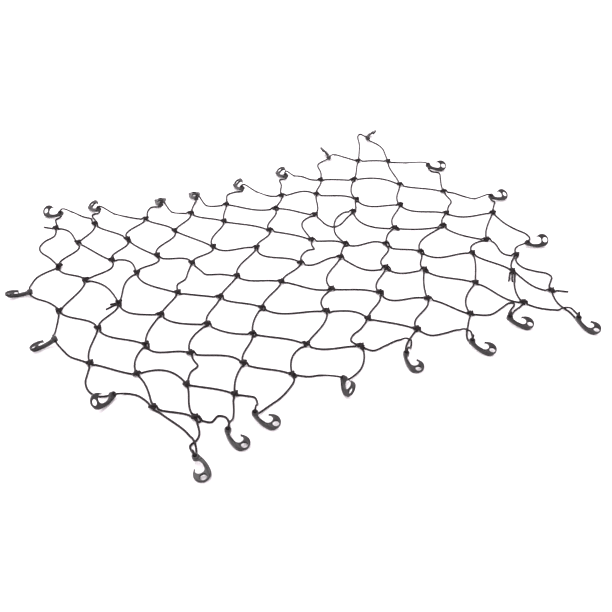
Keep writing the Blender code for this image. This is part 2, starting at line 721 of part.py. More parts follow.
def add_strand(mesh, path, root, end_root):
    """Skins a cord along a path, from one knot's root to another's, or to a free end."""
    ring = root
    side = None
    for i, point in enumerate(path):
        way = (path[min(i + 1, len(path) - 1)] - path[max(i - 1, 0)]).normalized()
        side = squared(side or Vector((-way.y, way.x, 0)), way, point.z)
        corners = [mesh.verts.new(Vector((x, y, max(z, 0.0))) * MM)
                   for x, y, z in section(point, way, side)]
        join(mesh, ring, corners)
        ring = corners
    if end_root is None:
        mesh.faces.new(ring)
        return
    # The far root is seen from its own knot, so its sides are swapped.
    facing = [end_root[1], end_root[0], end_root[3], end_root[2]]
    turns = []
    for shift in range(4):
        turned = facing[shift:] + facing[:shift]
        turns.append((sum((a.co - b.co).length for a, b in zip(ring, turned)), shift))
    shift = min(turns)[1]
    join(mesh, ring, facing[shift:] + facing[:shift])


def join(mesh, ring, corners):
    for i in range(4):
        j = (i + 1) % 4
        mesh.faces.new((ring[i], ring[j], corners[j], corners[i]))


def netting_mesh(knots, strands):
    mesh = bmesh.new()
    leaving = {knot: [] for knot in knots}
    for key, (start, end, path) in strands.items():
        leaving[start].append((key, "start", *leave_angle(knots[start], path)))
        if end is not None:
            leaving[end].append((key, "end", *leave_angle(knots[end], path[::-1])))
    roots, clear = {}, {}
    for knot, rows in leaving.items():
        corners = add_knot(mesh, knots[knot], spread([row[2] for row in rows]))
        for (key, tip, _, index), root in zip(rows, corners):
            roots[key, tip] = root
            clear[key, tip] = index
    for key, (start, end, path) in strands.items():
        first = clear[key, "start"]
        last = len(path) - clear[key, "end"] if end is not None else len(path)
        end_root = roots[key, "end"] if end is not None else None
        add_strand(mesh, thin_out(path[first:last]), roots[key, "start"], end_root)
    bmesh.ops.recalc_face_normals(mesh, faces=mesh.faces)
    data = bpy.data.meshes.new("net")
    mesh.to_mesh(data)
    mesh.free()
    return data


# --- the model -------------------------------------------------------------------------------

def place_object(name, data, material, matrix):
    thing = bpy.data.objects.new(name, data)
    thing.matrix_world = Matrix.Translation((CENTRE_SHIFT[0] * MM, CENTRE_SHIFT[1] * MM, 0)) @ matrix
    if not data.materials:
        data.materials.append(material)
    bpy.context.scene.collection.objects.link(thing)
    return thing


def build():
    clear_scene()
    hook = hook_mesh()
    places = hook_places(hook)
    knots = knot_places()
    strands = inner_strands(knots)
    strands.update(edge_strands(knots, places, hook))
    strands.update(free_ends(knots))
    ease_apart(strands, knots)
    lift_hops(strands)
    place_object("net", netting_mesh(knots, strands), plastic("elastic cord", CORD_BLACK, 0.8),
                 Matrix.Identity(4))
    hook_black = plastic("hook plastic", HOOK_BLACK, 0.3)
    for number, matrix in places.items():
        place_object(f"hook_{number:02d}", hook, hook_black, matrix)


build()
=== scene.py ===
"""An elastic cargo net with moulded hooks, lying loosely on a pale floor.

One braided elastic cord is knotted into rows of weaver's knots, and a black nylon hook hangs
on most of the loops at its edge. Lengths are millimetres up to the meshes, which are in
metres, and the net's plan is drawn about a point that NET_CENTRE then brings to the origin.
"""

import math
import random

import bmesh
import bpy
from bpy.props import (FloatProperty, FloatVectorProperty, IntProperty, PointerProperty)
from bpy.types import Operator, Panel, PropertyGroup
from mathutils import Euler, Matrix, Vector
from mathutils.bvhtree import BVHTree
from mathutils.geometry import delaunay_2d_cdt, intersect_line_line_2d
from mathutils.kdtree import KDTree


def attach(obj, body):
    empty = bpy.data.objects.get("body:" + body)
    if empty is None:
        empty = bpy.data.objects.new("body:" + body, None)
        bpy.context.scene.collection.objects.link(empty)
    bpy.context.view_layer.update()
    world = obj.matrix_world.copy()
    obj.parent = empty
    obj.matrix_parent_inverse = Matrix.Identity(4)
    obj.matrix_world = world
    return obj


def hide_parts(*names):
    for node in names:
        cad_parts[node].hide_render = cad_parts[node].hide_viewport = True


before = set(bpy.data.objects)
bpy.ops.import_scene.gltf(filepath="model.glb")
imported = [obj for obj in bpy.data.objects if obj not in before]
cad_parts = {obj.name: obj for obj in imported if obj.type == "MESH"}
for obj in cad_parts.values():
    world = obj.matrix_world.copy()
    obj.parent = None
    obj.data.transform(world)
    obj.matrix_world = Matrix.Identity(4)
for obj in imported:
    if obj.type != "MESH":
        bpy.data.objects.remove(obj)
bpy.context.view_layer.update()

bl_info = {
    "name": "Elastic Cargo Net",
    "version": (1, 0, 0),
    "blender": (4, 5, 0),
    "location": "View3D > Sidebar > Cargo Net",
    "description": "Knots an elastic cord into a net and hangs moulded hooks on its edge",
    "category": "Add Mesh",
}

MM = 0.001                  # metres

# --- the cord's routes, as the frame has them ------------------------------------------------

CORD = 4.0                  # the cord's diameter
HALF_CORD = CORD / 2
HALF_MESH = 65.5            # half a cell's width, along the rows
ROW_STEP = 76.4             # from one row of knots to the next
ROWS = 10
KNOTS_IN_ROW = 8
FIRST_KNOT = (-447.0, 499.0)    # the even place of the first row's first knot
NET_CENTRE = (-68.0, -163.0)        # brings the middle of the whole net to the origin
NET_SHIFT = (NET_CENTRE[0] * MM, NET_CENTRE[1] * MM, 0)

# How far each knot lies from its even place, to the nearest 5 mm: one line for each row of
# knots, one column for each knot.
STRAY_ALONG_ROW = (
    # k1   k2   k3   k4   k5   k6   k7   k8
    (80, 35, 20, -5, -40, -30, -30, -15),
    (40, 15, -5, -15, -10, -15, -20, -10),
    (40, 20, -15, -20, -5, -5, -5, 5),
    (10, -15, -25, 0, -5, 20, 10, 15),
    (-5, -20, -30, -25, -10, -10, 0, 20),
    (-20, -25, -25, -15, 15, 5, 40, 55),
    (0, -20, -20, -30, 0, 15, -10, 25),
    (0, -20, -20, 15, 15, 20, 25, -25),
    (60, 5, -10, -10, 10, 25, 20, -10),
    (50, 5, -10, 15, 10, 5, -5, -55),
)
STRAY_ACROSS_ROW = (
    (65, 40, 5, -20, -20, -45, -15, 35),
    (50, 10, -5, -20, -20, -5, 20, 70),
    (45, 15, -15, -40, -35, -20, 0, 15),
    (40, 15, -5, -15, -45, 25, 0, 5),
    (30, 0, -25, -25, -45, -20, -15, -15),
    (10, -5, -5, -15, 10, 10, 15, 10),
    (-15, -10, -5, -5, -15, 0, 20, -10),
    (-10, 0, 0, -5, 0, 30, 35, -20),
    (-35, -5, 0, -5, 10, 10, 10, 10),
    (-20, 5, 5, 15, 10, 0, -20, -15),
)

# How far each strand swings from the straight line between its knots, at one third and at two
# thirds of its way to the next row: to the left when seen along that way. One line for each
# row of knots, one pair for each knot. None is a strand that isn't there, or has a route below.
SWING_RIGHT = (
    ((14, 8), (-2, 4), (0, 6), (-6, 0), (-8, -14), (12, 22), (4, 2), (4, 6)),
    ((0, -2), (-5, -4), (0, 2), (4, 8), (6, 2), (4, 12), (22, 22), None),
    ((-10, 0), (22, 16), (-2, 12), (-14, -2), (4, 6), None, (-26, -14), (-2, 4)),
    ((16, 12), (-16, -10), None, (-18, 0), (2, 8), (-28, -28), (-18, -6), None),
    ((-2, 8), (-20, -14), (0, 0), (-10, -2), (-12, 2), (-6, 10), (-8, -8), (-18, -10)),
    ((-10, -2), (-14, -10), (-4, 2), (-4, -10), (-16, -24), (-10, 0), (-12, -10), None),
    ((0, -2), (-14, -2), (-10, -10), (-16, -6), (4, 8), (-18, -12), (-22, -8), (0, -16)),
    ((24, 22), (6, 14), (2, 6), (12, 16), (-20, -4), (-10, -2), (-4, 2), None),
    ((0, 4), (2, 4), (-2, 2), (-12, -4), (2, 4), (4, 0), (-2, -10), (-8, -14)),
)
SWING_LEFT = (
    (None, (8, 4), (-6, -16), (6, 0), (-2, -4), (4, 2), (2, -2), (0, 2)),
    ((10, -4), (6, -6), (4, -10), (-4, -12), (4, -6), (2, 6), (-8, -10), (-4, 0)),
    (None, (18, 8), (14, 0), (6, -4), (4, -4), (-28, -18), (0, 4), (-4, -8)),
    ((6, 2), (-12, -6), None, (-4, -10), None, None, (-6, -12), None),
    (None, (4, -4), (0, -2), (0, -2), (2, -4), (-2, -2), (-8, -6), (-6, -6)),
    ((-4, -8), (-6, -8), (-2, -8), (0, -4), (-10, -18), (4, -10), (-12, -18), (-4, -6)),
    (None, (-10, -10), (-12, -14), (-6, -6), (-14, -16), (-6, -12), (0, -6), (-14, -16)),
    ((6, 4), None, (0, -6), (8, 4), (6, 0), (-4, -4), (4, 2), (-6, -6)),
    (None, (-2, -6), (-6, -6), (-14, -12), None, (2, -8), (-12, -14), (-4, -8)),
)

# Strands with a kink or a loop that no swing gives: row and knot that they leave, side, and
# the points that they pass.
KINKED = (
    (3, 2, "right", ((-138, 224), (-135, 208), (-105, 192))),
    (3, 2, "left", ((-165, 236), (-182, 211), (-204, 200))),
    (2, 5, "right", ((204, 304), (204, 272), (214, 254), (233, 256), (263, 276))),
    (3, 5, "left", ((276, 304), (252, 295), (232, 278), (213, 250), (201, 222))),
    (3, 4, "left", ((127, 204), (124, 188), (108, 190), (86, 177))),
    (8, 4, "left", ((75, -111), (54, -125), (32, -134), (19, -148))),
    (7, 1, "left", ((-273, -58), (-273, -77), (-291, -87))),
    (3, 7, "left", ((545, 252), (537, 223), (517, 207))),
)

# The loops round the netting's edge, in order: the hook that hangs on the loop, the knots that
# it leaves and ends in, the points before the hook's eye, the points after it, the face of
# the hook that the first stretch comes in by, and the stretch that passes beneath the shank.
# A loop with hook 0 carries none.
EDGE_LOOPS = (
    (1, (0, 0), (0, 1), ((-362, 580),), ((-312, 627), (-295, 590), (-280, 569)),
     "under", "before"),
    (2, (0, 1), (0, 2), ((-276, 562),), ((-224, 568), (-203, 540), (-183, 518)),
     "under", "before"),
    (3, (0, 2), (0, 3), ((-159, 513), (-149, 538), (-132, 556)), ((-97, 508), (-73, 488)),
     "under", ""),
    (4, (0, 3), (0, 4), ((-45, 503), (-31, 522)), ((-10, 500), (6, 486)), "under", ""),
    (5, (0, 4), (0, 5), ((46, 499), (61, 526)), ((132, 507), (152, 468)), "under", "before"),
    (6, (0, 5), (0, 6), ((186, 476), (206, 510)), ((260, 540), (275, 528), (288, 499)),
     "under", "before"),
    (7, (0, 6), (0, 7), ((330, 520), (346, 566), (358, 576)), ((421, 602), (434, 578)),
     "under", ""),
    (8, (0, 7), (1, 7), ((479, 569), (516, 627), (543, 679), (556, 688), (560, 668)),
     ((561, 607), (558, 570), (546, 541)), "upper", ""),
    (9, (1, 7), (3, 7), ((537, 481), (562, 465)), ((606, 370), (589, 340), (571, 312)),
     "upper", "after"),
    (10, (3, 7), (5, 7), ((568, 262), (581, 233), (597, 208)), ((633, 168), (614, 152)),
     "upper", "after"),
    (11, (5, 7), (7, 7), ((588, 112), (583, 70), (587, 36), (594, 10), (588, -12)),
     ((536, -27), (523, -36)), "under", ""),
    (0, (7, 7), (9, 7), ((493, -76), (490, -104), (505, -129), (519, -145), (519, -161),
                         (501, -177), (488, -188)), (), "", ""),
    (12, (9, 7), (9, 6), ((466, -230), (460, -250), (460, -268), (460, -282)),
     ((469, -292), (471, -280), (463, -270), (443, -262), (414, -237)), "under", ""),
    (13, (9, 6), (9, 5), ((386, -216), (368, -221), (352, -229)),
     ((348, -224), (363, -214), (375, -208), (381, -201), (373, -195), (350, -201), (311, -209)),
     "under", ""),
    (14, (9, 5), (9, 4), ((262, -204), (247, -220), (232, -236), (221, -252)),
     ((234, -252), (238, -240), (231, -226), (220, -218), (196, -216), (165, -208)),
     "under", ""),
    (15, (9, 4), (9, 3), ((141, -186), (124, -197), (103, -214)),
     ((108, -222), (119, -206), (104, -191), (70, -193), (40, -195)), "under", ""),
    (16, (9, 3), (9, 2), ((22, -190), (7, -214), (-13, -233)), ((-86, -210), (-105, -204)),
     "under", ""),
    (17, (9, 2), (9, 1), ((-134, -200), (-154, -217), (-180, -232), (-204, -240)),
     ((-221, -225), (-218, -208), (-226, -200)), "under", ""),
    (18, (9, 1), (9, 0), ((-255, -197), (-262, -214), (-274, -238)),
     ((-285, -244), (-285, -230), (-295, -221), (-312, -230)), "upper", ""),
    (19, (9, 0), (8, 0), ((-341, -247), (-351, -259), (-366, -266), (-368, -283)),
     ((-359, -276), (-357, -262), (-357, -248), (-359, -231), (-364, -213), (-376, -180)),
     "upper", ""),
    (20, (8, 0), (6, 0), ((-391, -126), (-401, -101), (-420, -86)),
     ((-462, -72), (-473, -50), (-471, -22), (-462, -3)), "upper", ""),
    (21, (6, 0), (4, 0), ((-461, 46), (-474, 64), (-482, 94)), ((-480, 154), (-467, 184)),
     "under", ""),
    (22, (4, 0), (2, 0), ((-454, 240), (-465, 268), (-481, 289)), ((-478, 350), (-458, 374)),
     "under", ""),
    (0, (2, 0), (0, 0), ((-416, 440), (-426, 471), (-424, 495), (-406, 517), (-381, 530)), (),
     "", ""),
)

# Free ends of the cord: the knot that they leave and the points that they pass.
FREE_ENDS = (
    ("corner end", (0, 0), ((-377, 570), (-391, 584))),
    ("corner end", (9, 7), ((489, -206), (509, -222))),
    ("cut end", (4, 1), ((-366, 184),)),
    ("cut end", (4, 1), ((-353, 197),)),
    ("cut end", (8, 7), ((427, -129),)),
    ("cut end", (8, 7), ((433, -134),)),
)

# Where one strand passes over another: the upper strand and the lower one. A strand that is
# named twice passes over itself.
HOP_RISE = CORD + 0.6
HOP_REACH = 18.0            # along the upper strand, from the crossing to where it is down again
HOP_FLAT = 6.0              # along it, as far as it stays at its highest
HOPS = (
    ((3, 5, "left"), (2, 5, "right")),
    ((12, "edge"), (12, "edge")),
    ((14, "edge"), (14, "edge")),
    ((15, "edge"), (15, "edge")),
    ((19, "edge"), (19, "edge")),
)

# Where the cord runs through an eye, off the middle of the eye's bore.
SPINE_THICK = 8.0
PASS_OUT = 7.6              # the turn outside each face
PASS_IN = SPINE_THICK / 2 + 0.6     # still inside the boss
BORE_KEPT = PASS_IN + 0.1   # so far the cord stays where it is
SHOULDER_OUT = 7.4          # the shoulder over the boss's rim
SHOULDER_ALONG = 9.6
STRAIGHT_ENOUGH = 0.3       # cosine to the bore's axis past which there is no shoulder
BENEATH_SHANK = ((3.0, 1.0), (7.0, -8.0), (10.0, -18.0))   # on the surface, in a hook's axes

APART = 5.2                 # between the middles of two strands that lie side by side
KNOT_APART = 10.5           # between a strand's middle and a knot that it passes
APART_STEP = 3.0
APART_ROUNDS = 30
OWN_PUSH, NEXT_PUSH = 0.6, 0.3      # how a push is shared with the points beside it
OWN_REACH = 3 * APART       # along a strand, past which it is kept off itself
ROOT_REACH = 9.0            # along a strand from its knot's middle, where it isn't moved
OWN_KNOT_ROOTS = 3          # times as far along, it is kept off its own knots too
LIFTED = 0.5                # a stretch that is so far off the surface is left alone

CLEAR = 0.5                 # least space between the cord and a hook, or the cord and itself
EASE_STEP = 2.5             # spacing of the points that are eased clear
EASE_ROUNDS = 60
LAST_ROUNDS = 4             # of those, without smoothing
OWN_MOVE, NEXT_MOVE = 0.5, 0.25     # how a move is shared with the points beside it
UNBEND = 0.3                # how far a point goes in one round to take out too tight a bend
TIGHTEST = math.radians(32)         # the most that the cord turns in one such step
SELF_REACH = 4 * CORD       # along the cord, past which it is eased off itself
RELAX_ROUNDS = 4            # of making the bends rounder once it is clear
EASE_REACH = 40.0           # along the cord, from an eye, as far as the cord is eased

# Lengths that stand for none, in mm.
TINY = 1e-3                 # a gap that gives no sure direction
NO_LENGTH = 1e-6            # two points in one place
NOT_ZERO = 1e-9             # divides where a length may be zero
LEAST_SPAN = 0.01           # the least taken between two of a smooth curve's points
PAST_FACE = 1e-6            # in metres: the step past a face that a ray has met

# --- knots -----------------------------------------------------------------------------------

# A weaver's knot about its middle: x to the right along the row, y to the row above, z up.
# The bight comes down from the row above and goes back up. The wrap comes up from the row
# below, passes through the bight, round behind both its legs and out beneath itself. A slack
# knot's bight reaches farther down and lies open there.
BIGHT = ((-2.4, 3.6, 4.6), (-3.0, -0.4, 5.0), (-1.9, -3.6, 5.2), (0.0, -4.7, 5.2),
         (1.9, -3.6, 5.2), (3.0, -0.4, 5.0), (2.4, 3.6, 4.6))
BIGHT_SLACK = ((-2.4, 3.2, 4.6), (-2.9, -0.6, 5.0), (-3.3, -4.8, 3.8), (-2.1, -7.8, 2.4),
               (0.0, -8.8, 2.0), (2.1, -7.8, 2.4), (3.3, -4.8, 3.8), (2.9, -0.6, 5.0),
               (2.4, 3.2, 4.6))
WRAP = ((-1.0, -4.0, 1.6), (-0.4, -0.8, 4.2), (2.0, 1.0, 8.8), (5.0, 2.2, 5.4),
        (2.6, 3.2, 1.7), (-2.6, 3.2, 1.7), (-5.0, 1.8, 4.8), (-3.0, 0.2, 7.8),
        (0.4, -1.4, 8.0), (3.4, -2.8, 5.8))
TIGHT_KNOT = 1.28           # a tight knot's size against the curves above
KNOT_FLATTENED = 0.82       # a knot's height on the surface, as a share of its height in the air
CORD_IN_KNOT = 1.10         # the cord's width in a tight knot, which squashes it flatter
KNOT_TRIM = 7.4             # from the middle of a knot of size 1 to where its strands begin
LEG_REACH = 23.0            # as far out as a strand's place in its knot is read
NEAR_REACH = LEG_REACH / 2  # as far out as the way that it leaves by is read
KNOT_SEED = 11              # of the chance that makes the knots uneven
KNOT_UNEVEN = 0.10          # how much a knot's size differs from the even one
HEIGHT_UNEVEN = (0.94, 1.06)        # the same for the height of its turns' points
KNOT_TWIST = 14.0           # and for its turn on the surface, in degrees
TURN_STEPS = 3              # points between two of a turn's points, as it is pressed apart
PRESSED = 0.8               # of the cord's width, the least aimed at between two turns' middles
PRESS_ROUNDS = 24
PUSH_SHARE = 0.16           # of what is missing, made up by one point in one round
STRAIGHTENED = 0.12         # how far a point goes towards the middle of those beside it
NEXT_ALONG = 6              # points along a turn that don't push each other

# Knots that were never pulled tight, and their size against the curves above.
LOOSE_KNOTS = {
    # (row, knot): size
    (6, 1): 1.35, (2, 6): 1.35, (4, 6): 1.4, (4, 5): 1.3, (5, 5): 1.4, (6, 6): 1.35,
    (6, 5): 1.5, (7, 5): 1.25, (6, 3): 1.2, (7, 2): 1.3, (9, 0): 1.25, (1, 4): 1.2,
    (1, 1): 1.25, (9, 2): 1.2, (2, 0): 1.4, (4, 1): 1.25, (8, 7): 1.25,
}

# --- the hooks -------------------------------------------------------------------------------

# The outline's own axes: x from the eye to the nose, y to the side that the mouth opens on.
HEAD_CENTRE = (34.5, 1.8)
HEAD_RADIUS = 15.0
MOUTH_CENTRE = (25.0, 2.7)
MOUTH_RADIUS = 8.3
WINDOW_CENTRE = (41.6, 2.2)
WINDOW_RADIUS = 5.7
EYE_RADIUS = 2.9
BOSS_RADIUS = 6.2
BOSS_THICK = 9.6
BOSS_SLOPE = (-0.6, 0.7)    # from its radius, where it slopes down to the plate
HEAD_THICK = 5.0
THIN_FROM, THIN_TO = 14.0, 30.0     # along x, where the spine's thickness runs down to the head's
RIM_FROM, RIM_TO = -7.0, -9.0       # along y, where the head's plate rises to its thick lower rim
BEAK_TIP = (22.1, 10.6)
BEAK_TIP_RADIUS = 1.15
# Where the outline's arcs start and end, in degrees, counterclockwise from the x axis.
HEAD_ARC = (139, -90)
BOSS_ARC = (238, 40)
MOUTH_ARC = (-100, 101)
BEAK_ARC = (366, 120)
FULL_TURN = (0, 360)
SPINE_BELOW = ((34.5, -13.2), (24.0, -13.0), (14.0, -11.2), (5.0, -8.4), (-3.29, -5.26))
SPINE_ABOVE = ((4.75, 3.99), (6.2, 0.6), (8.8, -2.6), (14.0, -4.9), (19.5, -5.6),
               (23.6, -5.47))
POCKET_LINE = ((10.5, -6.75), (16.0, -8.35), (23.0, -9.25), (31.0, -9.5))
POCKET_HALF_WIDTH = 1.6
POCKET_WALL = 0.35          # how much wider the recess is at its brim than at its floor
EDGE_ROUNDING = (
    # way in and drop, as shares of the rounding
    (0.0, 1.0), (0.15, 0.47), (0.5, 0.13), (1.0, 0.0))
ROUNDED_SHARE = 0.32        # of a thin wall's thickness, the most that one edge rounds
OPPOSITE = 3                # points along an outline, past which a point is across the wall
LEAST_MITRE = 0.6           # keeps a loop's sharp corners from running far when it is set in
SHARP_FROM = 38.0           # degrees between two faces, from which their edge shows as one

# How far apart the points of the hook's mesh are.
PLAN_STEP = 1.3             # along the outline
BEAK_STEP = 0.6
WINDOW_STEP = 1.1
EYE_STEP = 0.9
POCKET_STEP = 1.6
POCKET_END_STEP = 0.7
PLATE_STEP = 2.4            # on the faces
PLATE_MARGIN = 0.8          # between these and the rounded edges
PLATE_GAP = 1.1             # the least between one of these and another point
PLATE_BOX = ((-6.5, 50.0), (-13.5, 17.0))       # along x and y
BOSS_RINGS = (-0.5, 0.1, 0.7)       # from the boss's radius, where rings of points follow it
BOSS_RING_ARC = (-70, 20)
BOSS_RING_STEP = 1.0
SAME_PLACE = 1e-4           # points that are no farther apart become one

# --- the cord's mesh -------------------------------------------------------------------------

FINE_STEPS = 4              # points between two of a route's points, before rings are chosen
BEND_PER_RING = math.radians(14)    # a new ring comes after this much bend
LONGEST_RING = 7.0          # or after this much length
CUT_END = (
    # share of the cord's width, way ahead as a share of its radius
    (0.86, 0.45), (0.5, 0.75), (0.0, 0.85))

# --- finishes and stage ----------------------------------------------------------------------

# The patterns, in mm. Real yarns, the texture of a real mould and the tooth of real paper are
# too fine to show in the render, so they are drawn coarser here.
YARNS_AROUND = 8            # yarns of each way round the sheath, wider than the real ones
BRAID_PITCH = 2.4           # along the cord from one crossing to the next
DUST_SCALE = 140.0          # patches of dust in a metre of cord, so about 7 mm each
MOULD_GRAIN = 0.35          # the mould's texture
FLOW_MARK = 9.0             # cloudy marks where the nylon flowed
PAPER_TOOTH = 1.5           # the paper's surface
POLYESTER_IOR = 1.54
NYLON_IOR = 1.53
YARN_TOP = (0.34, 0.2)      # how high a yarn rises at its middle, and how softly it levels off
YARN_SHADES = 0.35          # how much one yarn's shade differs from the next
YARN_OVER = 0.03            # how much higher the upper yarn lies where two cross
WORN_EDGE = (0.5, 0.62)     # pointiness from which the nylon is rubbed, and at which it is most
ROUGH_SPREAD = (-0.05, 0.06)        # how much the nylon's roughness varies

FLOOR_SIZE = 14.0           # metres, as are all the stage's sizes
FLOOR_GAP = 0.0002
SOFT_BOX = (-0.9, 0.9, 2.6)
SOFT_BOX_SIZE = 2.2
FAR_BOX = (1.3, 2.3, 1.9)
FAR_BOX_SIZE = 2.4
CAMERA_PLACE = (-0.7505, -1.4096, 0.9952)
CAMERA_AIM = (-0.068, -0.163, 0.0)
SENSOR = 36.0

# One line for each hook: its number, the place of its eye, the way its nose points, how far
# the nose is raised, and how far it is rolled about its own length, in mm and degrees.
HOOKS = (
    # no    x     y  heading  nose  roll
    (1, -342, 609, 133, -5, 132),
    (2, -256, 584, 99, -9, 147),
    (3, -113, 538, 76, -12, 173),
    (4, -23, 530, 79, -10, 180),
    (5, 99, 520, 85, -6, 142),
    (6, 230, 530, 89, -6, 146),
    (7, 388, 579, 80, 5, 47),
    (8, 549, 635, 40, 1, 143),
    (9, 592, 402, 331, -6, 40),
    (10, 626, 180, 353, -6, 38),
    (11, 559, -34, 336, 4, 50),
    (12, 447, -316, 283, -10, 14),
    (13, 328, -248, 309, -10, 18),
    (14, 214, -274, 300, -10, 14),
    (15, 82, -244, 267, -10, 5),
    (16, -57, -248, 254, 4, 52),
    (17, -241, -257, 301, -10, 12),
    (18, -299, -272, 284, -10, 4),
    (19, -371, -304, 268, -10, 190),
    (20, -440, -86, 207, 12, 124),
    (21, -489, 115, 185, -4, 62),
    (22, -490, 309, 169, 4, 54),
)


# --- routes ----------------------------------------------------------------------------------

def on_floor(point):
    """The cord's middle where it lies on the floor below a point of the plan."""
    return Vector((point[0], point[1], HALF_CORD))


def leftward(way):
    """The way across another one, to its left in the plan."""
    return Vector((-way.y, way.x, 0.0))


def smooth(points, steps=8):
    """A smooth curve through points: centripetal Catmull-Rom, mirrored past its ends."""
    ends = [2 * points[0] - points[1]] + list(points) + [2 * points[-1] - points[-2]]
    result = []
    for before, start, end, after in zip(ends, ends[1:], ends[2:], ends[3:]):
        k1 = max((start - before).length, LEAST_SPAN) ** 0.5
        k2 = k1 + max((end - start).length, LEAST_SPAN) ** 0.5
        k3 = k2 + max((after - end).length, LEAST_SPAN) ** 0.5
        for step in range(steps):
            k = k1 + (k2 - k1) * step / steps
            a1 = before.lerp(start, k / k1)
            a2 = start.lerp(end, (k - k1) / (k2 - k1))
            a3 = end.lerp(after, (k - k2) / (k3 - k2))
            b1 = a1.lerp(a2, k / k2)
            b2 = a2.lerp(a3, (k - k1) / (k3 - k1))
            result.append(b1.lerp(b2, (k - k1) / (k2 - k1)))
    result.append(points[-1].copy())
    return result


def swung(start, end, third, two_thirds, steps=16):
    """A cubic between two knots that passes the two swings."""
    way = end - start
    left = leftward(way).normalized()
    cubic = 13.5            # makes the curve swing just so far at one third and at two thirds
    path = []
    for step in range(steps + 1):
        t = step / steps
        swing = cubic * t * (1 - t) * (third * (2 / 3 - t) + two_thirds * (t - 1 / 3))
        path.append(start + way * t + left * swing)
    return path


def knot_places():
    """The middle of each knot, by its row and its place in the row."""
    places = {}
    for row in range(ROWS):
        for place in range(KNOTS_IN_ROW):
            x = FIRST_KNOT[0] + (2 * place + row % 2) * HALF_MESH + STRAY_ALONG_ROW[row][place]
            y = FIRST_KNOT[1] - row * ROW_STEP + STRAY_ACROSS_ROW[row][place]
            places[row, place] = on_floor((x, y))
    return places


def next_knot(row, place, side):
    """The knot of the next row that a strand runs to."""
    if side == "right":
        return row + 1, place + row % 2
    return row + 1, place + row % 2 - 1


def inner_strands(knots):
    """The strands between the rows: their key, the knots at their ends and their path."""
    strands = {}
    for row in range(ROWS - 1):
        for place in range(KNOTS_IN_ROW):
            for side, swings in (("right", SWING_RIGHT), ("left", SWING_LEFT)):
                swing = swings[row][place]
                if swing:
                    end = next_knot(row, place, side)
                    strands[row, place, side] = (
                        (row, place), end, swung(knots[row, place], knots[end], *swing))
    for row, place, side, points in KINKED:
        end = next_knot(row, place, side)
        route = [knots[row, place]] + [on_floor(point) for point in points] + [knots[end]]
        strands[row, place, side] = ((row, place), end, smooth(route))
    return strands


def through_eye(matrix, before, after, face):
    """The cord's stretch into a hook's eye and the one out of it, from its bore's middle."""
    eye = matrix.translation / MM
    up = (matrix.to_3x3() @ Vector((0, 0, 1))).normalized()
    if (up.z < 0) != (face == "under"):
        up = -up
    stretches = []
    for out, outside in ((up, before), (-up, after)):
        way = outside - eye
        stretch = [eye, eye + out * PASS_IN, eye + out * PASS_OUT]
        if way.normalized().dot(out) < STRAIGHT_ENOUGH:
            way = (way - out * way.dot(out)).normalized()
            stretch.append(eye + out * SHOULDER_OUT + way * SHOULDER_ALONG)
        stretches.append(stretch)
    return stretches[0][::-1], stretches[1]


def evenly(path, step):
    """The same path with its points one step apart, or nearly."""
    runs = [0.0]
    for a, b in zip(path, path[1:]):
        runs.append(runs[-1] + (b - a).length)
    count = max(2, round(runs[-1] / step))
    result, i = [], 0
    for k in range(count + 1):
        run = runs[-1] * k / count
        while i < len(path) - 2 and runs[i + 1] < run:
            i += 1
        share = (run - runs[i]) / max(runs[i + 1] - runs[i], NOT_ZERO)
        result.append(path[i].lerp(path[i + 1], min(1.0, share)))
    return result


def within(tree, place):
    """True for a place inside a closed mesh: the way up from it meets an odd count of faces."""
    count = 0
    while True:
        hit = tree.ray_cast(place, Vector((0, 0, 1)))[0]
        if hit is None:
            return count % 2 == 1
        count += 1
        place = hit + Vector((0, 0, PAST_FACE))


def near_eye(path, eye_at, spared):
    """The numbers of a path's points near an eye, but for those nearest to its bore's middle."""
    reach = int(EASE_REACH / EASE_STEP)
    return [i for i in range(max(1, eye_at - reach), min(len(path) - 1, eye_at + reach + 1))
            if (path[i] - path[eye_at]).length > spared]


def ease_clear(path, eye_at, tree):
    """Moves a path's points off the hook that it runs through, and off the path itself.

    The bore's points stay. Each move is shared with the points beside it, so that the cord
    keeps smooth bends.
    """
    free = near_eye(path, eye_at, BORE_KEPT)
    start = [point.copy() for point in path]
    moves = [Vector() for _ in path]
    for turn in range(EASE_ROUNDS):
        smoothing = turn < EASE_ROUNDS - LAST_ROUNDS
        for i in free:
            point = start[i] + moves[i]
            before, after = start[i - 1] + moves[i - 1], start[i + 1] + moves[i + 1]
            if smoothing and (point - before).angle(after - point) > TIGHTEST:
                point = point.lerp((before + after) / 2, UNBEND)
            place, normal, _, away = tree.find_nearest(point * MM)
            away /= MM
            off = point - place / MM
            if away < TINY:
                point = place / MM + normal * (HALF_CORD + CLEAR)
            elif within(tree, point * MM):
                point = place / MM - off.normalized() * (HALF_CORD + CLEAR)
            elif away < HALF_CORD + CLEAR:
                point = place / MM + off.normalized() * (HALF_CORD + CLEAR)
            for j in free:
                if abs(i - j) * EASE_STEP > SELF_REACH:
                    gap = point - (start[j] + moves[j])
                    if gap.length < CORD + CLEAR:
                        point += gap.normalized() * (CORD + CLEAR - gap.length) / 2
            point.z = max(point.z, HALF_CORD)
            moves[i] = point - start[i]
        if smoothing:
            eased = [move.copy() for move in moves]
            for i in free:
                eased[i] = moves[i] * OWN_MOVE + (moves[i - 1] + moves[i + 1]) * NEXT_MOVE
            moves = eased
    return [point + move for point, move in zip(start, moves)]


def relaxed(path, eye_at):
    """The same path with rounder bends near the eye, but for the stretch through the bore."""
    for _ in range(RELAX_ROUNDS):
        moved = list(path)
        for i in near_eye(path, eye_at, PASS_OUT):
            moved[i] = path[i] / 2 + (path[i - 1] + path[i + 1]) / 4
            moved[i].z = max(moved[i].z, HALF_CORD)
        path = moved
    return path


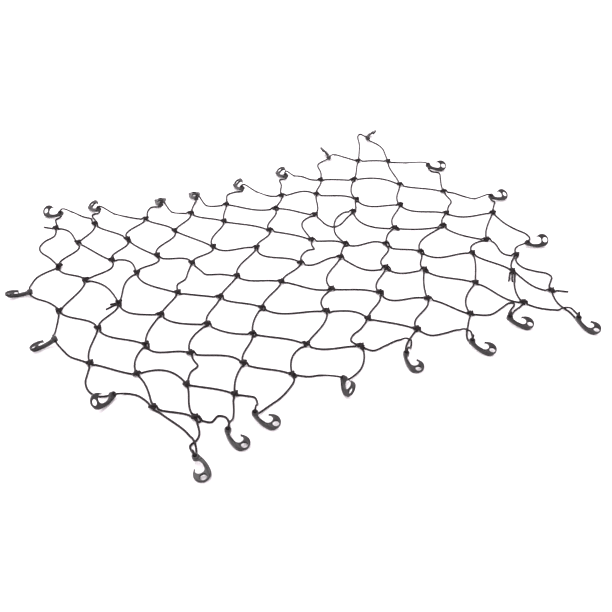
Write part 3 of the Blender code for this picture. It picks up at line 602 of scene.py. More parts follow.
def edge_strands(knots, places, hook):
    """The loops round the netting's edge, each through its hook's eye."""
    strands = {}
    for order, (number, start, end, before, after, face, beneath) in enumerate(EDGE_LOOPS):
        route = [knots[start]] + [on_floor(point) for point in before]
        rest = [on_floor(point) for point in after] + [knots[end]]
        if not number:
            strands[-order, "edge"] = (start, end, smooth(route + rest))
            continue
        matrix = places[number]
        under = [on_floor(matrix @ Vector((x * MM, y * MM, 0)) / MM) for x, y in BENEATH_SHANK]
        if beneath == "before":
            route += under[::-1]
        elif beneath == "after":
            rest = under + rest
        into, out = through_eye(matrix, route[-1], rest[0], face)
        first = evenly(smooth(route + into), EASE_STEP)
        second = evenly(smooth(out + rest), EASE_STEP)
        tree = BVHTree.FromPolygons([matrix @ vertex.co for vertex in hook.vertices],
                                    [tuple(polygon.vertices) for polygon in hook.polygons])
        eased = ease_clear(first + second[1:], len(first) - 1, tree)
        strands[number, "edge"] = (start, end, relaxed(eased, len(first) - 1))
    return strands


def free_ends(knots):
    """The cord's ends, each from its knot: their strands have no knot at the far end."""
    strands = {}
    for order, (kind, start, points) in enumerate(FREE_ENDS):
        route = [knots[start]] + [on_floor(point) for point in points]
        strands[order, kind] = (start, None, smooth(route))
    return strands


def ease_apart(strands, knots):
    """Moves strands sideways off each other and off the knots that they pass.

    Near its own knots a strand stays, and so does a stretch that is lifted off the surface.
    """
    paths = {key: evenly(path, APART_STEP) for key, (_, _, path) in strands.items()}
    moves = {key: [Vector() for _ in path] for key, path in paths.items()}
    root = int(ROOT_REACH / APART_STEP)
    for _ in range(APART_ROUNDS):
        points = [(key, i, paths[key][i] + moves[key][i])
                  for key in paths for i in range(len(paths[key]))]
        tree = KDTree(len(points))
        for index, (_, _, point) in enumerate(points):
            tree.insert(point, index)
        tree.balance()
        pushes = {key: [Vector() for _ in path] for key, path in paths.items()}
        for key, i, point in points:
            last = len(paths[key]) - 1
            if i < root or i > last - root or point.z > HALF_CORD + LIFTED:
                continue
            for _, index, away in tree.find_range(point, APART):
                other, j, place = points[index]
                if other == key and abs(i - j) * APART_STEP < OWN_REACH:
                    continue
                if (key, other) in HOPS or (other, key) in HOPS:
                    continue
                gap = Vector((point.x - place.x, point.y - place.y, 0))
                if place.z < HALF_CORD + LIFTED and gap.length > TINY:
                    pushes[key][i] += gap.normalized() * (APART - away) / 2
            for knot, centre in knots.items():
                gap = point - centre
                if abs(gap.x) < KNOT_APART and gap.length < KNOT_APART:
                    if knot not in strands[key][:2] or min(i, last - i) > OWN_KNOT_ROOTS * root:
                        pushes[key][i] += gap.normalized() * (KNOT_APART - gap.length) / 2
        for key, path in paths.items():
            for i in range(root, len(path) - root):
                beside = pushes[key][i - 1] + pushes[key][i + 1]
                moves[key][i] += pushes[key][i] * OWN_PUSH + beside * NEXT_PUSH
    for key, (start, end, _) in strands.items():
        moved = [point + move for point, move in zip(paths[key], moves[key])]
        strands[key] = (start, end, moved)


def crossing(path, below):
    """The point of a path where it crosses another, or itself, at too little height."""
    for i in range(1, len(path) - 1):
        for j in range(1, i - 1 if path is below else len(below) - 1):
            if abs(path[i].z - below[j].z) < HOP_RISE and (path[i] - below[j]).length < HOP_REACH:
                if intersect_line_line_2d(path[i].xy, path[i + 1].xy, below[j].xy, below[j + 1].xy):
                    return i
    raise ValueError("these strands don't cross")


def lift_hops(strands):
    """Raises each upper strand where it passes over its lower one, or over itself."""
    for upper, lower in HOPS:
        path = strands[upper][2]
        middle = crossing(path, strands[lower][2])
        for way in (1, -1):
            run, i = 0.0, middle
            while 0 <= i < len(path) and run < HOP_REACH:
                share = min(1.0, (HOP_REACH - run) / (HOP_REACH - HOP_FLAT))
                rise = HOP_RISE * share * share * (3 - 2 * share)
                path[i].z = max(path[i].z, HALF_CORD + rise)
                i += way
                run += (path[i].xy - path[i - way].xy).length if 0 <= i < len(path) else 0


# --- the cord through its knots --------------------------------------------------------------

def sorted_legs(knots, strands):
    """For each knot, the strands' ends that lead up to it, down from it, and stray ones.

    Two ends lead to the row above and two to the row below. A strand between two rows has its
    place by its rows, and the edge's loops fill the places left, the highest first.
    """
    legs = {knot: {"up": [], "down": [], "stray": []} for knot in knots}
    waiting = {knot: [] for knot in knots}
    for key, (start, end, path) in strands.items():
        if len(key) == 3:
            legs[start]["down"].append((key, 0))
            legs[end]["up"].append((key, -1))
            continue
        waiting[start].append((key, 0))
        if end is not None:
            waiting[end].append((key, -1))
    for knot, tips in waiting.items():
        tips.sort(key=lambda tip: -clear_point(knots[knot], strands, tip, LEG_REACH).y)
        for tip in tips:
            side = next(side for side in ("up", "down", "stray")
                        if len(legs[knot][side]) < 2 or side == "stray")
            legs[knot][side].append(tip)
    return legs


def from_tip(strands, tip):
    """A strand's path from one of its tips, the knots at its near and far ends, and the far tip."""
    key, end = tip
    start, finish, path = strands[key]
    if end == 0:
        return path, start, finish, (key, -1)
    return path[::-1], finish, start, (key, 0)


def clear_point(centre, strands, tip, reach):
    """The first point of a strand, from one of its tips, that is so far from the knot."""
    path = from_tip(strands, tip)[0]
    return next((point for point in path if (point.xy - centre.xy).length > reach), path[-1])


def knot_curves(knots, strands, legs, thickness):
    """For each strand's tip, the tip that it runs on to, and the curve through the knot."""
    chance = random.Random(KNOT_SEED)
    onward = {}
    for knot, centre in knots.items():
        size = LOOSE_KNOTS.get(knot, TIGHT_KNOT) * chance.uniform(1 - KNOT_UNEVEN, 1 + KNOT_UNEVEN)
        tight = knot not in LOOSE_KNOTS
        lean = math.radians(chance.uniform(-KNOT_TWIST, KNOT_TWIST))
        mirrored = chance.choice((1, -1))
        near = {tip: clear_point(centre, strands, tip, NEAR_REACH) - centre
                for side in ("up", "down") for tip in legs[knot][side]}
        above, below = (sum((near[tip].normalized() for tip in legs[knot][side]), Vector())
                        for side in ("up", "down"))
        upward = above - below
        turn = Matrix.Rotation(math.atan2(upward.y, upward.x) - math.pi / 2 + lean, 3, "Z")
        radius = thickness / 2 * (CORD_IN_KNOT if tight else 1.0)
        turns = []
        for side, curve in (("up", BIGHT if tight else BIGHT_SLACK), ("down", WRAP)):
            tips = sorted(legs[knot][side], key=lambda tip: (turn.transposed() @ near[tip]).x)
            points = []
            for x, y, z in curve:
                place = turn @ Vector((x * mirrored * size, y * size, 0))
                height = max(radius, z * size * KNOT_FLATTENED * chance.uniform(*HEIGHT_UNEVEN))
                points.append(Vector((centre.x + place.x, centre.y + place.y, height, radius)))
            if mirrored < 0:
                points.reverse()
            turns.append((tips, smooth(points, TURN_STEPS)))
        settled = pressed_apart([points for _, points in turns], radius)
        for (tips, _), points in zip(turns, settled):
            if len(tips) == 2:
                onward[tips[0]] = (tips[1], points, KNOT_TRIM * size)
                onward[tips[1]] = (tips[0], points[::-1], KNOT_TRIM * size)
    return onward


def pressed_apart(turns, radius):
    """A knot's turns, moved apart where they press too deep into each other."""
    least = 2 * radius * PRESSED
    for _ in range(PRESS_ROUNDS):
        moved = []
        for turn in turns:
            new = []
            for i, point in enumerate(turn):
                push = Vector((0.0, 0.0, 0.0))
                for other in turns:
                    for j, beside in enumerate(other):
                        if other is turn and abs(i - j) < NEXT_ALONG:
                            continue
                        gap = point.xyz - beside.xyz
                        if NO_LENGTH < gap.length < least:
                            push += gap.normalized() * (least - gap.length) * PUSH_SHARE
                place = point.xyz + push
                if 0 < i < len(turn) - 1:
                    place = place.lerp((turn[i - 1].xyz + turn[i + 1].xyz) / 2, STRAIGHTENED)
                place.z = max(place.z, radius)
                new.append(Vector((*place, point.w)))
            moved.append(new)
        turns = moved
    return turns


def cord_lengths(knots, strands, thickness):
    """The net's lengths of cord, each a list of points with the cord's radius as fourth value."""
    legs = sorted_legs(knots, strands)
    onward = knot_curves(knots, strands, legs, thickness)
    used = set()
    lengths = []
    for first in [(key, -1) for key, (_, end, _) in strands.items() if end is None]:
        if first[0] in used:
            continue
        tip, points = first, []
        while True:
            used.add(tip[0])
            free, far = run_between(knots, strands, tip, onward)
            points += [Vector((*point, thickness / 2)) for point in free]
            if far not in onward:
                break
            tip, through, _ = onward[far]
            points += through
        lengths.append(points)
    if len(used) < len(strands):
        raise ValueError("some strands belong to no length of cord")
    return lengths


def run_between(knots, strands, tip, onward):
    """The part of a strand's path that is clear of the knots at its ends, and its far tip."""
    path, start, finish, far = from_tip(strands, tip)
    first, last = 0, len(path) - 1
    if tip in onward:
        while first < last and (path[first].xy - knots[start].xy).length < onward[tip][2]:
            first += 1
    if far in onward:
        while last > first and (path[last].xy - knots[finish].xy).length < onward[far][2]:
            last -= 1
    return path[first:last + 1], far


def fine_path(points):
    """A smooth path with points close together where it bends, and further apart elsewhere."""
    dense = smooth(points, FINE_STEPS)
    kept = [dense[0]]
    turned, run = 0.0, 0.0
    for before, point, after in zip(dense, dense[1:], dense[2:]):
        way, onward = (point - before).xyz, (after - point).xyz
        if way.length < NO_LENGTH or onward.length < NO_LENGTH:
            continue
        turned += way.angle(onward)
        run += way.length
        if turned > BEND_PER_RING or run > LONGEST_RING:
            kept.append(point)
            turned, run = 0.0, 0.0
    kept.append(dense[-1])
    return kept


def cord_mesh(name, points, sides):
    """Skins one length of cord, with u round it and v along it in metres."""
    path = fine_path(points)
    last = len(path) - 1
    places, radii = [point.xyz for point in path], [point.w for point in path]
    ways = [(places[min(i + 1, last)] - places[max(i - 1, 0)]).normalized()
            for i in range(last + 1)]
    side = leftward(ways[0]).normalized()
    vertices, faces, uvs = [], [], []
    for middle, way, radius in zip(places, ways, radii):
        side = (side - way * side.dot(way)).normalized()
        up = way.cross(side)
        for k in range(sides):
            angle = 2 * math.pi * k / sides
            place = middle + (side * math.cos(angle) + up * math.sin(angle)) * radius
            place.z = max(place.z, 0.0)
            vertices.append(place * MM)
    run = 0.0
    for i in range(last):
        far = run + (places[i + 1] - places[i]).length * MM
        for k in range(sides):
            m = (k + 1) % sides
            faces.append((i * sides + k, i * sides + m, (i + 1) * sides + m, (i + 1) * sides + k))
            u0, u1 = k / sides, (k + 1) / sides
            uvs += [u0, run, u1, run, u1, far, u0, far]
        run = far
    for i, turn in ((0, -1), (last, 1)):
        close_end(vertices, faces, uvs, i * sides, sides, ways[i] * turn, radii[i], turn)
    data = bpy.data.meshes.new(name)
    data.from_pydata(vertices, [], faces)
    data.uv_layers.new(name="cord").data.foreach_set("uv", uvs)
    data.shade_smooth()
    return data


def close_end(vertices, faces, uvs, first, sides, way, radius, turn):
    """A rounded end, where the cut sheath was melted so that it can't fray."""
    ring = list(range(first, first + sides))
    base = [vertices[i] for i in ring]
    middle = sum(base, Vector()) / sides
    for share, ahead in CUT_END:
        start = len(vertices)
        vertices.extend(middle + (point - middle) * share + way * radius * ahead * MM
                        for point in (base if share else base[:1]))
        for k in range(sides):
            m = (k + 1) % sides
            corners = ((ring[k], ring[m], start + m, start + k) if share
                       else (ring[k], ring[m], start))
            faces.append(corners if turn > 0 else corners[::-1])
            uvs += [0.0] * 2 * len(corners)
        ring = list(range(start, len(vertices)))


# --- the hook --------------------------------------------------------------------------------

def arc(centre, radius, start, end, step=PLAN_STEP):
    """Points along an arc, in the plan, about one step apart."""
    count = max(3, round(abs(math.radians(end - start)) * radius / step))
    angles = [math.radians(start + (end - start) * k / count) for k in range(count + 1)]
    return [Vector((centre[0] + radius * math.cos(a), centre[1] + radius * math.sin(a), 0.0))
            for a in angles]


def plan_curve(points, step=PLAN_STEP):
    """A smooth curve through points of the plan."""
    return evenly(smooth([Vector((x, y, 0.0)) for x, y in points]), step)


def hook_outline():
    """The head's back, the spine, the boss, the mouth and the beak's tip, clockwise."""
    outline = arc(HEAD_CENTRE, HEAD_RADIUS, *HEAD_ARC)
    outline += plan_curve(SPINE_BELOW)[1:]
    outline += arc((0, 0), BOSS_RADIUS, *BOSS_ARC)[1:]
    outline += plan_curve(SPINE_ABOVE)[1:]
    outline += arc(MOUTH_CENTRE, MOUTH_RADIUS, *MOUTH_ARC)[1:]
    outline += arc(BEAK_TIP, BEAK_TIP_RADIUS, *BEAK_ARC, BEAK_STEP)[:-1]
    return outline


def set_in(loop, amounts):
    """A loop moved sideways, each point by its own amount to the right of the way that it runs."""
    moved = []
    beside = zip(loop[-1:] + loop[:-1], loop, loop[1:] + loop[:1], amounts)
    for before, point, after, amount in beside:
        one, two = (point - before).normalized(), (after - point).normalized()
        across = -leftward((one + two).normalized())
        mitre = across.dot(-leftward(one))
        moved.append(point + across * amount / max(LEAST_MITRE, mitre))
    return moved


def rounding_room(loop, others, rounding):
    """The rounding at each point of a loop: less of it where the wall behind is thin."""
    room = []
    for i, point in enumerate(loop):
        nearest = min((point - place).length for other in others for place in other)
        for k, place in enumerate(loop):
            apart = min(abs(i - k), len(loop) - abs(i - k))
            if apart > OPPOSITE:
                nearest = min(nearest, (point - place).length)
        room.append(min(rounding, nearest * ROUNDED_SHARE))
    return room


def plate_half(point):
    """Half the hook's thickness at a place of its plan, before its edges are rounded."""
    thin = soft_step(THIN_FROM, THIN_TO, point.x) * (1 - soft_step(RIM_FROM, RIM_TO, point.y))
    plate = SPINE_THICK + (HEAD_THICK - SPINE_THICK) * thin
    brim, foot = BOSS_SLOPE
    boss = 1 - soft_step(BOSS_RADIUS + brim, BOSS_RADIUS + foot, point.length)
    return (plate + (BOSS_THICK - SPINE_THICK) * boss) / 2


def soft_step(low, high, value):
    """Rises smoothly from 0 at the low value to 1 at the high one."""
    share = min(1.0, max(0.0, (value - low) / (high - low)))
    return share * share * (3 - 2 * share)


def inside(point, loop):
    """True for a point of the plan that lies inside a loop."""
    odd = False
    for a, b in zip(loop, loop[1:] + loop[:1]):
        if (a.y > point.y) != (b.y > point.y):
            if point.x < a.x + (point.y - a.y) * (b.x - a.x) / (b.y - a.y):
                odd = not odd
    return odd


def pocket_loop(grown):
    """The outline of the recess along the spine, clockwise like the hook's outline."""
    line = plan_curve(POCKET_LINE, POCKET_STEP)
    half = POCKET_HALF_WIDTH + grown
    ways = [(b - a).normalized() for a, b in zip(line, line[1:])]
    ways.append(ways[-1])
    left = [point + leftward(way) * half for point, way in zip(line, ways)]
    right = [point - leftward(way) * half for point, way in zip(line, ways)]

    def round_end(place, way):
        heading = math.degrees(math.atan2(way.y, way.x))
        return arc(place, half, heading + 90, heading - 90, POCKET_END_STEP)[1:-1]

    return left + round_end(line[-1], ways[-1]) + right[::-1] + round_end(line[0], -ways[0])


def hook_plan(rounding, depth):
    """The plan's points, how far each is sunk below the plate, the triangles and the rims."""
    outline = hook_outline()
    window = arc(WINDOW_CENTRE, WINDOW_RADIUS, *FULL_TURN, WINDOW_STEP)[:-1]
    eye = arc((0, 0), EYE_RADIUS, *FULL_TURN, EYE_STEP)[:-1]
    points, sunk, edges = [], [], []

    def add_loop(loop, drops):
        first = len(points)
        points.extend(point.xy for point in loop)
        sunk.extend(drops)
        edges.extend((first + k, first + (k + 1) % len(loop)) for k in range(len(loop)))
        return list(range(first, len(points)))

    rims = []
    for loop in (outline, window, eye):
        others = [other for other in (outline, window, eye) if other is not loop]
        room = rounding_room(loop, others, rounding)
        for along, drop in EDGE_ROUNDING:
            ids = add_loop(set_in(loop, [along * most for most in room]),
                           [drop * most for most in room])
            if along == 0.0:
                rims.append(ids)
    brim, floor = pocket_loop(POCKET_WALL), pocket_loop(0.0)
    add_loop(brim, [0.0] * len(brim))
    add_loop(floor, [depth] * len(floor))
    inner = set_in(outline, [rounding + PLATE_MARGIN] * len(outline))
    (left, right), (bottom, top) = PLATE_BOX
    rows = int((top - bottom) / PLATE_STEP)
    columns = int((right - left) / PLATE_STEP)
    taken = [point.copy() for point in points]
    for row in range(rows + 1):
        for column in range(columns + 1):
            place = Vector((left + (column + row % 2 / 2) * PLATE_STEP,
                            bottom + row * PLATE_STEP, 0.0))
            nearest = min((place.xy - other).length for other in taken)
            if inside(place, inner) and nearest > PLATE_GAP:
                points.append(place.xy)
                sunk.append(depth if inside(place, floor) else 0.0)
    for ring in BOSS_RINGS:
        for place in arc((0, 0), BOSS_RADIUS + ring, *BOSS_RING_ARC, BOSS_RING_STEP):
            if inside(place, inner):
                points.append(place.xy)
                sunk.append(0.0)
    places, _, triangles, origins, _, _ = delaunay_2d_cdt(points, edges, [], 0, SAME_PLACE)
    drops = [sunk[origin[0]] if origin else 0.0 for origin in origins]
    kept = []
    for triangle in triangles:
        middle = sum((places[i] for i in triangle), Vector((0.0, 0.0))) / 3
        if inside(middle, outline) and not inside(middle, window) and not inside(middle, eye):
            kept.append(triangle)
    lookup = {origin: new for new, origin_list in enumerate(origins) for origin in origin_list}
    return places, drops, kept, [[lookup[i] for i in ids] for ids in rims]


def hook_mesh(rounding, depth):
    """One hook about its eye, both its faces alike."""
    places, drops, triangles, rims = hook_plan(rounding, depth)
    mesh = bmesh.new()
    top, bottom = [], []
    for place, drop in zip(places, drops):
        half = plate_half(Vector((place.x, place.y, 0.0))) - drop
        top.append(mesh.verts.new(Vector((place.x, place.y, half)) * MM))
        bottom.append(mesh.verts.new(Vector((place.x, place.y, -half)) * MM))
    for a, b, c in triangles:
        mesh.faces.new((top[a], top[b], top[c]))
        mesh.faces.new((bottom[c], bottom[b], bottom[a]))
    for rim in rims:
        for a, b in zip(rim, rim[1:] + rim[:1]):
            mesh.faces.new((top[a], top[b], bottom[b], bottom[a]))
    loose = [vertex for vertex in mesh.verts if not vertex.link_faces]
    bmesh.ops.delete(mesh, geom=loose, context="VERTS")
    bmesh.ops.recalc_face_normals(mesh, faces=mesh.faces)
    data = bpy.data.meshes.new("moulded hook")
    mesh.to_mesh(data)
    mesh.free()
    data.shade_smooth()
    data.set_sharp_from_angle(angle=math.radians(SHARP_FROM))
    return data


def hook_places(data):
    """Each hook's matrix: turned as the table says, its lowest point on the surface."""
    places = {}
    for number, x, y, heading, nose, roll in HOOKS:
        turn = Euler((math.radians(roll), math.radians(-nose), math.radians(heading))).to_matrix()
        lowest = min((turn @ vertex.co).z for vertex in data.vertices)
        places[number] = Matrix.Translation((x * MM, y * MM, -lowest)) @ turn.to_4x4()
    return places


# --- finishes --------------------------------------------------------------------------------

def linear(code):
    """The linear RGBA colour of an sRGB hex code."""
    channels = [int(code[i:i + 2], 16) / 255 for i in (1, 3, 5)]
    return tuple(c / 12.92 if c <= 0.04045 else ((c + 0.055) / 1.055) ** 2.4
                 for c in channels) + (1.0,)


def add_node(tree, kind, settings=(), inputs=()):
    """Adds a node with its settings, and sets or links its inputs by their name or number."""
    node = tree.nodes.new(kind)
    for name, value in dict(settings).items():
        setattr(node, name, value)
    for name, value in dict(inputs).items():
        if isinstance(value, bpy.types.NodeSocket):
            tree.links.new(value, node.inputs[name])
        else:
            node.inputs[name].default_value = value
    return node


def new_material(name):
    """A material, its node tree and its shader."""
    material = bpy.data.materials.new(name)
    material.use_nodes = True
    tree = material.node_tree
    return material, tree, tree.nodes["Principled BSDF"]


def braided_polyester(finish):
    """The cord's sheath: black polyester yarn, braided over a rubber core.

    Two sets of yarns wind round the cord, one each way. Where they cross they make small
    raised diamonds, which break its dull shine into a fine pattern. The yarn's loose filaments
    give the outline a faint soft sheen.
    """
    material, tree, shader = new_material("braided polyester sheath")
    place = add_node(tree, "ShaderNodeUVMap", {"uv_map": "cord"})
    split = add_node(tree, "ShaderNodeSeparateXYZ", inputs={0: place.outputs[0]})
    around = add_node(tree, "ShaderNodeMath", {"operation": "MULTIPLY"},
                      {0: split.outputs[0], 1: YARNS_AROUND})
    along = add_node(tree, "ShaderNodeMath", {"operation": "DIVIDE"},
                     {0: split.outputs[1], 1: BRAID_PITCH * MM})
    waves, cells = [], []
    for operation in ("ADD", "SUBTRACT"):
        yarn = add_node(tree, "ShaderNodeMath", {"operation": operation},
                        {0: around.outputs[0], 1: along.outputs[0]})
        share = add_node(tree, "ShaderNodeMath", {"operation": "FRACT"}, {0: yarn.outputs[0]})
        half = add_node(tree, "ShaderNodeMath", {"operation": "PINGPONG"},
                        {0: share.outputs[0], 1: 0.5})
        waves.append(add_node(tree, "ShaderNodeMath", {"operation": "SMOOTH_MIN"},
                              {0: half.outputs[0], 1: YARN_TOP[0], 2: YARN_TOP[1]}))
        cells.append(add_node(tree, "ShaderNodeMath", {"operation": "FLOOR"}, {0: yarn.outputs[0]}))
    diamond = add_node(tree, "ShaderNodeMath", {"operation": "MULTIPLY"},
                       {0: waves[0].outputs[0], 1: waves[1].outputs[0]})
    both = add_node(tree, "ShaderNodeMath", {"operation": "ADD"},
                    {0: cells[0].outputs[0], 1: cells[1].outputs[0]})
    over = add_node(tree, "ShaderNodeMath", {"operation": "PINGPONG"}, {0: both.outputs[0], 1: 1.0})
    cell = add_node(tree, "ShaderNodeCombineXYZ",
                    inputs={0: cells[0].outputs[0], 1: cells[1].outputs[0]})
    yarn_shade = add_node(tree, "ShaderNodeTexWhiteNoise", {"noise_dimensions": "2D"},
                          {"Vector": cell.outputs[0]})
    fuzz = add_node(tree, "ShaderNodeTexCoord")
    dust = add_node(tree, "ShaderNodeTexNoise",
                    inputs={"Vector": fuzz.outputs["Object"], "Scale": DUST_SCALE, "Detail": 4.0})
    mix = add_node(tree, "ShaderNodeMath", {"operation": "MULTIPLY_ADD"},
                   {0: yarn_shade.outputs["Value"], 1: YARN_SHADES, 2: dust.outputs["Fac"]})
    ramp = add_node(tree, "ShaderNodeMapRange",
                    inputs={"Value": mix.outputs[0], "From Min": 0.35, "From Max": 1.05})
    colour = add_node(tree, "ShaderNodeMix", {"data_type": "RGBA"},
                      {"Factor": ramp.outputs[0], 6: (*finish.cord_shadow, 1.0),
                       7: (*finish.cord_light, 1.0)})
    height = add_node(tree, "ShaderNodeMath", {"operation": "MULTIPLY_ADD"},
                      {0: over.outputs[0], 1: YARN_OVER, 2: diamond.outputs[0]})
    bump = add_node(tree, "ShaderNodeBump",
                    inputs={"Strength": 0.8, "Distance": 0.0012, "Height": height.outputs[0]})
    tree.links.new(colour.outputs[2], shader.inputs["Base Color"])
    tree.links.new(bump.outputs[0], shader.inputs["Normal"])
    shader.inputs["Roughness"].default_value = finish.cord_roughness
    shader.inputs["IOR"].default_value = POLYESTER_IOR
    shader.inputs["Metallic"].default_value = 0.0
    shader.inputs["Specular IOR Level"].default_value = 0.16
    shader.inputs["Sheen Weight"].default_value = 0.05
    shader.inputs["Sheen Roughness"].default_value = 0.4
    return material


def moulded_nylon(finish):
    """The hooks: black nylon, injection moulded in a fine spark-eroded mould.

    Its satin skin gives soft grey highlights along the rounded edges. Handling has rubbed it a
    little lighter on what stands out.
    """
    material, tree, shader = new_material("moulded black nylon")
    place = add_node(tree, "ShaderNodeTexCoord")
    grain = add_node(tree, "ShaderNodeTexNoise",
                     inputs={"Vector": place.outputs["Object"], "Scale": 1 / (MOULD_GRAIN * MM),
                             "Detail": 3.0})
    cloud = add_node(tree, "ShaderNodeTexNoise",
                     inputs={"Vector": place.outputs["Object"], "Scale": 1 / (FLOW_MARK * MM),
                             "Detail": 2.0})
    worn = add_node(tree, "ShaderNodeNewGeometry")
    edge = add_node(tree, "ShaderNodeMapRange",
                    inputs={"Value": worn.outputs["Pointiness"], "From Min": WORN_EDGE[0],
                            "From Max": WORN_EDGE[1]})
    colour = add_node(tree, "ShaderNodeMix", {"data_type": "RGBA"},
                      {"Factor": edge.outputs[0], 6: (*finish.hook_colour, 1.0),
                       7: (*finish.hook_worn, 1.0)})
    rough = add_node(tree, "ShaderNodeMapRange",
                     inputs={"Value": cloud.outputs["Fac"], "From Min": 0.3, "From Max": 0.7,
                             "To Min": finish.hook_roughness + ROUGH_SPREAD[0],
                             "To Max": finish.hook_roughness + ROUGH_SPREAD[1]})
    bump = add_node(tree, "ShaderNodeBump",
                    inputs={"Strength": 0.25, "Distance": 0.0001, "Height": grain.outputs["Fac"]})
    tree.links.new(colour.outputs[2], shader.inputs["Base Color"])
    tree.links.new(rough.outputs[0], shader.inputs["Roughness"])
    tree.links.new(bump.outputs[0], shader.inputs["Normal"])
    shader.inputs["IOR"].default_value = NYLON_IOR
    shader.inputs["Metallic"].default_value = 0.0
    shader.inputs["Specular IOR Level"].default_value = 0.4
    return material


def floor_paper(stage):
    """Matt white background paper: it spreads the light evenly and shows no shine."""
    material, tree, shader = new_material("matt white paper")
    place = add_node(tree, "ShaderNodeTexCoord")
    tooth = add_node(tree, "ShaderNodeTexNoise",
                     inputs={"Vector": place.outputs["Object"], "Scale": 1 / (PAPER_TOOTH * MM)})
    bump = add_node(tree, "ShaderNodeBump",
                    inputs={"Strength": 0.05, "Distance": 0.0002, "Height": tooth.outputs["Fac"]})
    tree.links.new(bump.outputs[0], shader.inputs["Normal"])
    shader.inputs["Base Color"].default_value = (*stage.floor_colour, 1.0)
    shader.inputs["Roughness"].default_value = 0.9
    shader.inputs["Specular IOR Level"].default_value = 0.2
    return material


# --- what a user would change ----------------------------------------------------------------

class CordSettings(PropertyGroup):
    diameter: FloatProperty(
        name="Cord diameter", description="Thickness of the elastic cord", unit="LENGTH",
        default=CORD * MM, min=0.001, max=0.01, precision=4)
    sides: IntProperty(
        name="Sides", description="Faces round the cord", default=12, min=6, max=24)


class HookSettings(PropertyGroup):
    rounding: FloatProperty(
        name="Edge rounding", description="Radius along the hook's edges", unit="LENGTH",
        default=0.0011, min=0.0002, max=0.002, precision=4)
    pocket: FloatProperty(
        name="Recess depth", description="Depth of the recess along the spine", unit="LENGTH",
        default=0.0009, min=0.0, max=0.002, precision=4)


class FinishSettings(PropertyGroup):
    cord_shadow: FloatVectorProperty(
        name="Cord, dark", description="The sheath's darker yarns", subtype="COLOR",
        default=linear("#100c0e")[:3])
    cord_light: FloatVectorProperty(
        name="Cord, light", description="The sheath's lighter yarns", subtype="COLOR",
        default=linear("#272123")[:3])
    cord_roughness: FloatProperty(
        name="Cord roughness", description="How dull the sheath is", subtype="FACTOR",
        default=0.7, min=0.0, max=1.0)
    hook_colour: FloatVectorProperty(
        name="Hook colour", description="The nylon's own black", subtype="COLOR",
        default=linear("#080607")[:3])
    hook_worn: FloatVectorProperty(
        name="Rubbed edges", description="The nylon where handling has rubbed it",
        subtype="COLOR", default=linear("#1d191b")[:3])
    hook_roughness: FloatProperty(
        name="Hook roughness", description="How satin the nylon is", subtype="FACTOR",
        default=0.3, min=0.0, max=1.0)


class StageSettings(PropertyGroup):
    floor_colour: FloatVectorProperty(
        name="Floor colour", description="The paper that the net lies on", subtype="COLOR",
        default=linear("#f6f6f6")[:3])
    sky_colour: FloatVectorProperty(
        name="Surroundings", description="Colour of the even light all round", subtype="COLOR",
        default=linear("#fff6fc")[:3])
    sky: FloatProperty(
        name="Surrounding light", description="Strength of the even light all round",
        default=1.6, min=0.0, max=5.0)
    key: FloatProperty(
        name="Soft box", description="Power of the large soft box overhead", unit="POWER",
        default=40.0, min=0.0, max=1000.0)
    far: FloatProperty(
        name="Far soft box", description="Power of the soft box that the hooks mirror",
        unit="POWER", default=30.0, min=0.0, max=1000.0)
    lens: FloatProperty(
        name="Lens", description="Focal length of the camera", unit="CAMERA",
        default=49.41, min=10.0, max=300.0)


# --- operators -------------------------------------------------------------------------------

def add_piece(name, data, material, nodes):
    """A piece of the net that stands for these nodes of the frame."""
    if not data.materials:
        data.materials.append(material)
    piece = bpy.data.objects.new(name, data)
    bpy.context.scene.collection.objects.link(piece)
    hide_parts(*nodes)
    return piece


def add_soft_light(name, place, aim, size, power):
    """A round soft box that faces a point."""
    lamp = bpy.data.lights.new(name, "AREA")
    lamp.shape = "DISK"
    lamp.size = size
    lamp.energy = power
    light = bpy.data.objects.new(name, lamp)
    light.location = place
    light.rotation_euler = (Vector(aim) - Vector(place)).to_track_quat("-Z", "Y").to_euler()
    bpy.context.scene.collection.objects.link(light)


class CARGONET_OT_stage(Operator):
    """Adds the pale floor, the even light and the camera"""
    bl_idname = "cargonet.stage"
    bl_label = "Stage"

    def execute(self, context):
        stage = context.scene.cargo_stage
        size = FLOOR_SIZE / 2
        data = bpy.data.meshes.new("floor")
        data.from_pydata([(-size, -size, 0), (size, -size, 0), (size, size, 0), (-size, size, 0)],
                         [], [(0, 1, 2, 3)])
        data.materials.append(floor_paper(stage))
        floor = bpy.data.objects.new("floor", data)
        floor.location.z = -FLOOR_GAP
        context.scene.collection.objects.link(floor)
        add_soft_light("soft box", SOFT_BOX, (0, 0, 0), SOFT_BOX_SIZE, stage.key)
        add_soft_light("far soft box", FAR_BOX, (0, 0, 0), FAR_BOX_SIZE, stage.far)
        world = bpy.data.worlds.new("even light")
        world.use_nodes = True
        sky = world.node_tree.nodes["Background"]
        sky.inputs["Color"].default_value = (*stage.sky_colour, 1.0)
        sky.inputs["Strength"].default_value = stage.sky
        context.scene.world = world
        lens = bpy.data.cameras.new("camera")
        lens.sensor_width = SENSOR
        lens.lens = stage.lens
        camera = bpy.data.objects.new("camera", lens)
        camera.location = CAMERA_PLACE
        way = Vector(CAMERA_AIM) - Vector(CAMERA_PLACE)
        camera.rotation_euler = way.to_track_quat("-Z", "Y").to_euler()
        context.scene.collection.objects.link(camera)
        context.scene.camera = camera
        context.scene.view_settings.view_transform = "Standard"
        return {"FINISHED"}


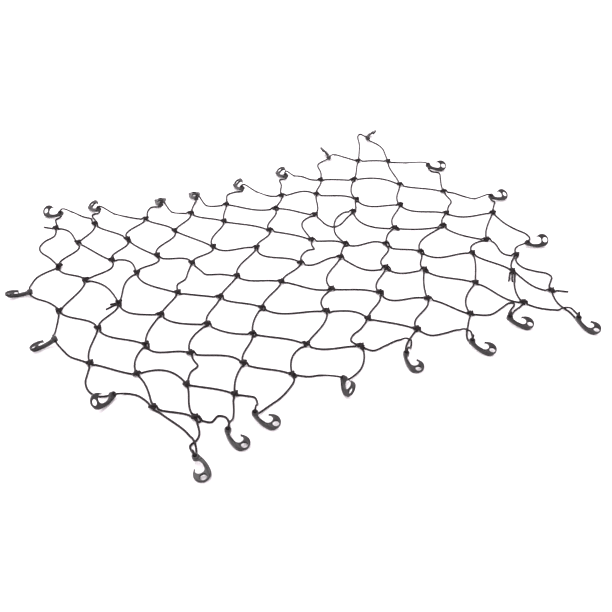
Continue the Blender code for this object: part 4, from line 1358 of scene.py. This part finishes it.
class CARGONET_OT_hooks(Operator):
    """Hangs the moulded hooks round the net's edge"""
    bl_idname = "cargonet.hooks"
    bl_label = "Hooks"

    def execute(self, context):
        settings = context.scene.cargo_hooks
        data = hook_mesh(settings.rounding / MM, settings.pocket / MM)
        nylon = moulded_nylon(context.scene.cargo_finish)
        shift = Matrix.Translation(NET_SHIFT)
        for number, matrix in hook_places(data).items():
            node = f"hook_{number:02d}"
            placed = data.copy()
            placed.name = node
            placed.transform(shift @ matrix)
            piece = add_piece(f"moulded_{node}", placed, nylon, [node])
            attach(piece, "root")
        return {"FINISHED"}


class CARGONET_OT_cord(Operator):
    """Knots the elastic cord into the net and threads it through the hooks' eyes"""
    bl_idname = "cargonet.cord"
    bl_label = "Knotted Cord"

    def execute(self, context):
        settings = context.scene.cargo_cord
        hook = bpy.data.meshes.get("moulded hook")
        if hook is None:
            raise RuntimeError("the hooks come before the cord, which runs through their eyes")
        knots = knot_places()
        strands = inner_strands(knots)
        strands.update(edge_strands(knots, hook_places(hook), hook))
        strands.update(free_ends(knots))
        ease_apart(strands, knots)
        lift_hops(strands)
        sheath = braided_polyester(context.scene.cargo_finish)
        lengths = cord_lengths(knots, strands, settings.diameter / MM)
        for count, points in enumerate(lengths, 1):
            data = cord_mesh(f"cord {count}", points, settings.sides)
            piece = add_piece(f"netting_cord_{count:02d}", data, sheath, ["net"])
            piece.location = NET_SHIFT
            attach(piece, "root")
        return {"FINISHED"}


class CARGONET_PT_panel(Panel):
    """Lists the sizes and finishes, with a button for each step"""
    bl_idname = "CARGONET_PT_panel"
    bl_label = "Cargo Net"
    bl_space_type = "VIEW_3D"
    bl_region_type = "UI"
    bl_category = "Cargo Net"

    def draw(self, context):
        scene = context.scene
        for settings, operator in ((scene.cargo_stage, CARGONET_OT_stage),
                                   (scene.cargo_hooks, CARGONET_OT_hooks),
                                   (scene.cargo_cord, CARGONET_OT_cord),
                                   (scene.cargo_finish, None)):
            box = self.layout.box()
            for name in settings.bl_rna.properties.keys():
                if name not in ("rna_type", "name"):
                    box.prop(settings, name)
            if operator:
                box.operator(operator.bl_idname)


CLASSES = (CordSettings, HookSettings, FinishSettings, StageSettings,
           CARGONET_OT_stage, CARGONET_OT_hooks, CARGONET_OT_cord, CARGONET_PT_panel)


def register():
    for cls in CLASSES:
        bpy.utils.register_class(cls)
    bpy.types.Scene.cargo_cord = PointerProperty(type=CordSettings)
    bpy.types.Scene.cargo_hooks = PointerProperty(type=HookSettings)
    bpy.types.Scene.cargo_finish = PointerProperty(type=FinishSettings)
    bpy.types.Scene.cargo_stage = PointerProperty(type=StageSettings)


def unregister():
    for name in ("cargo_cord", "cargo_hooks", "cargo_finish", "cargo_stage"):
        delattr(bpy.types.Scene, name)
    for cls in reversed(CLASSES):
        bpy.utils.unregister_class(cls)


def main():
    register()
    bpy.ops.cargonet.stage()
    bpy.ops.cargonet.hooks()
    bpy.ops.cargonet.cord()


if __name__ == "__main__":
    main()
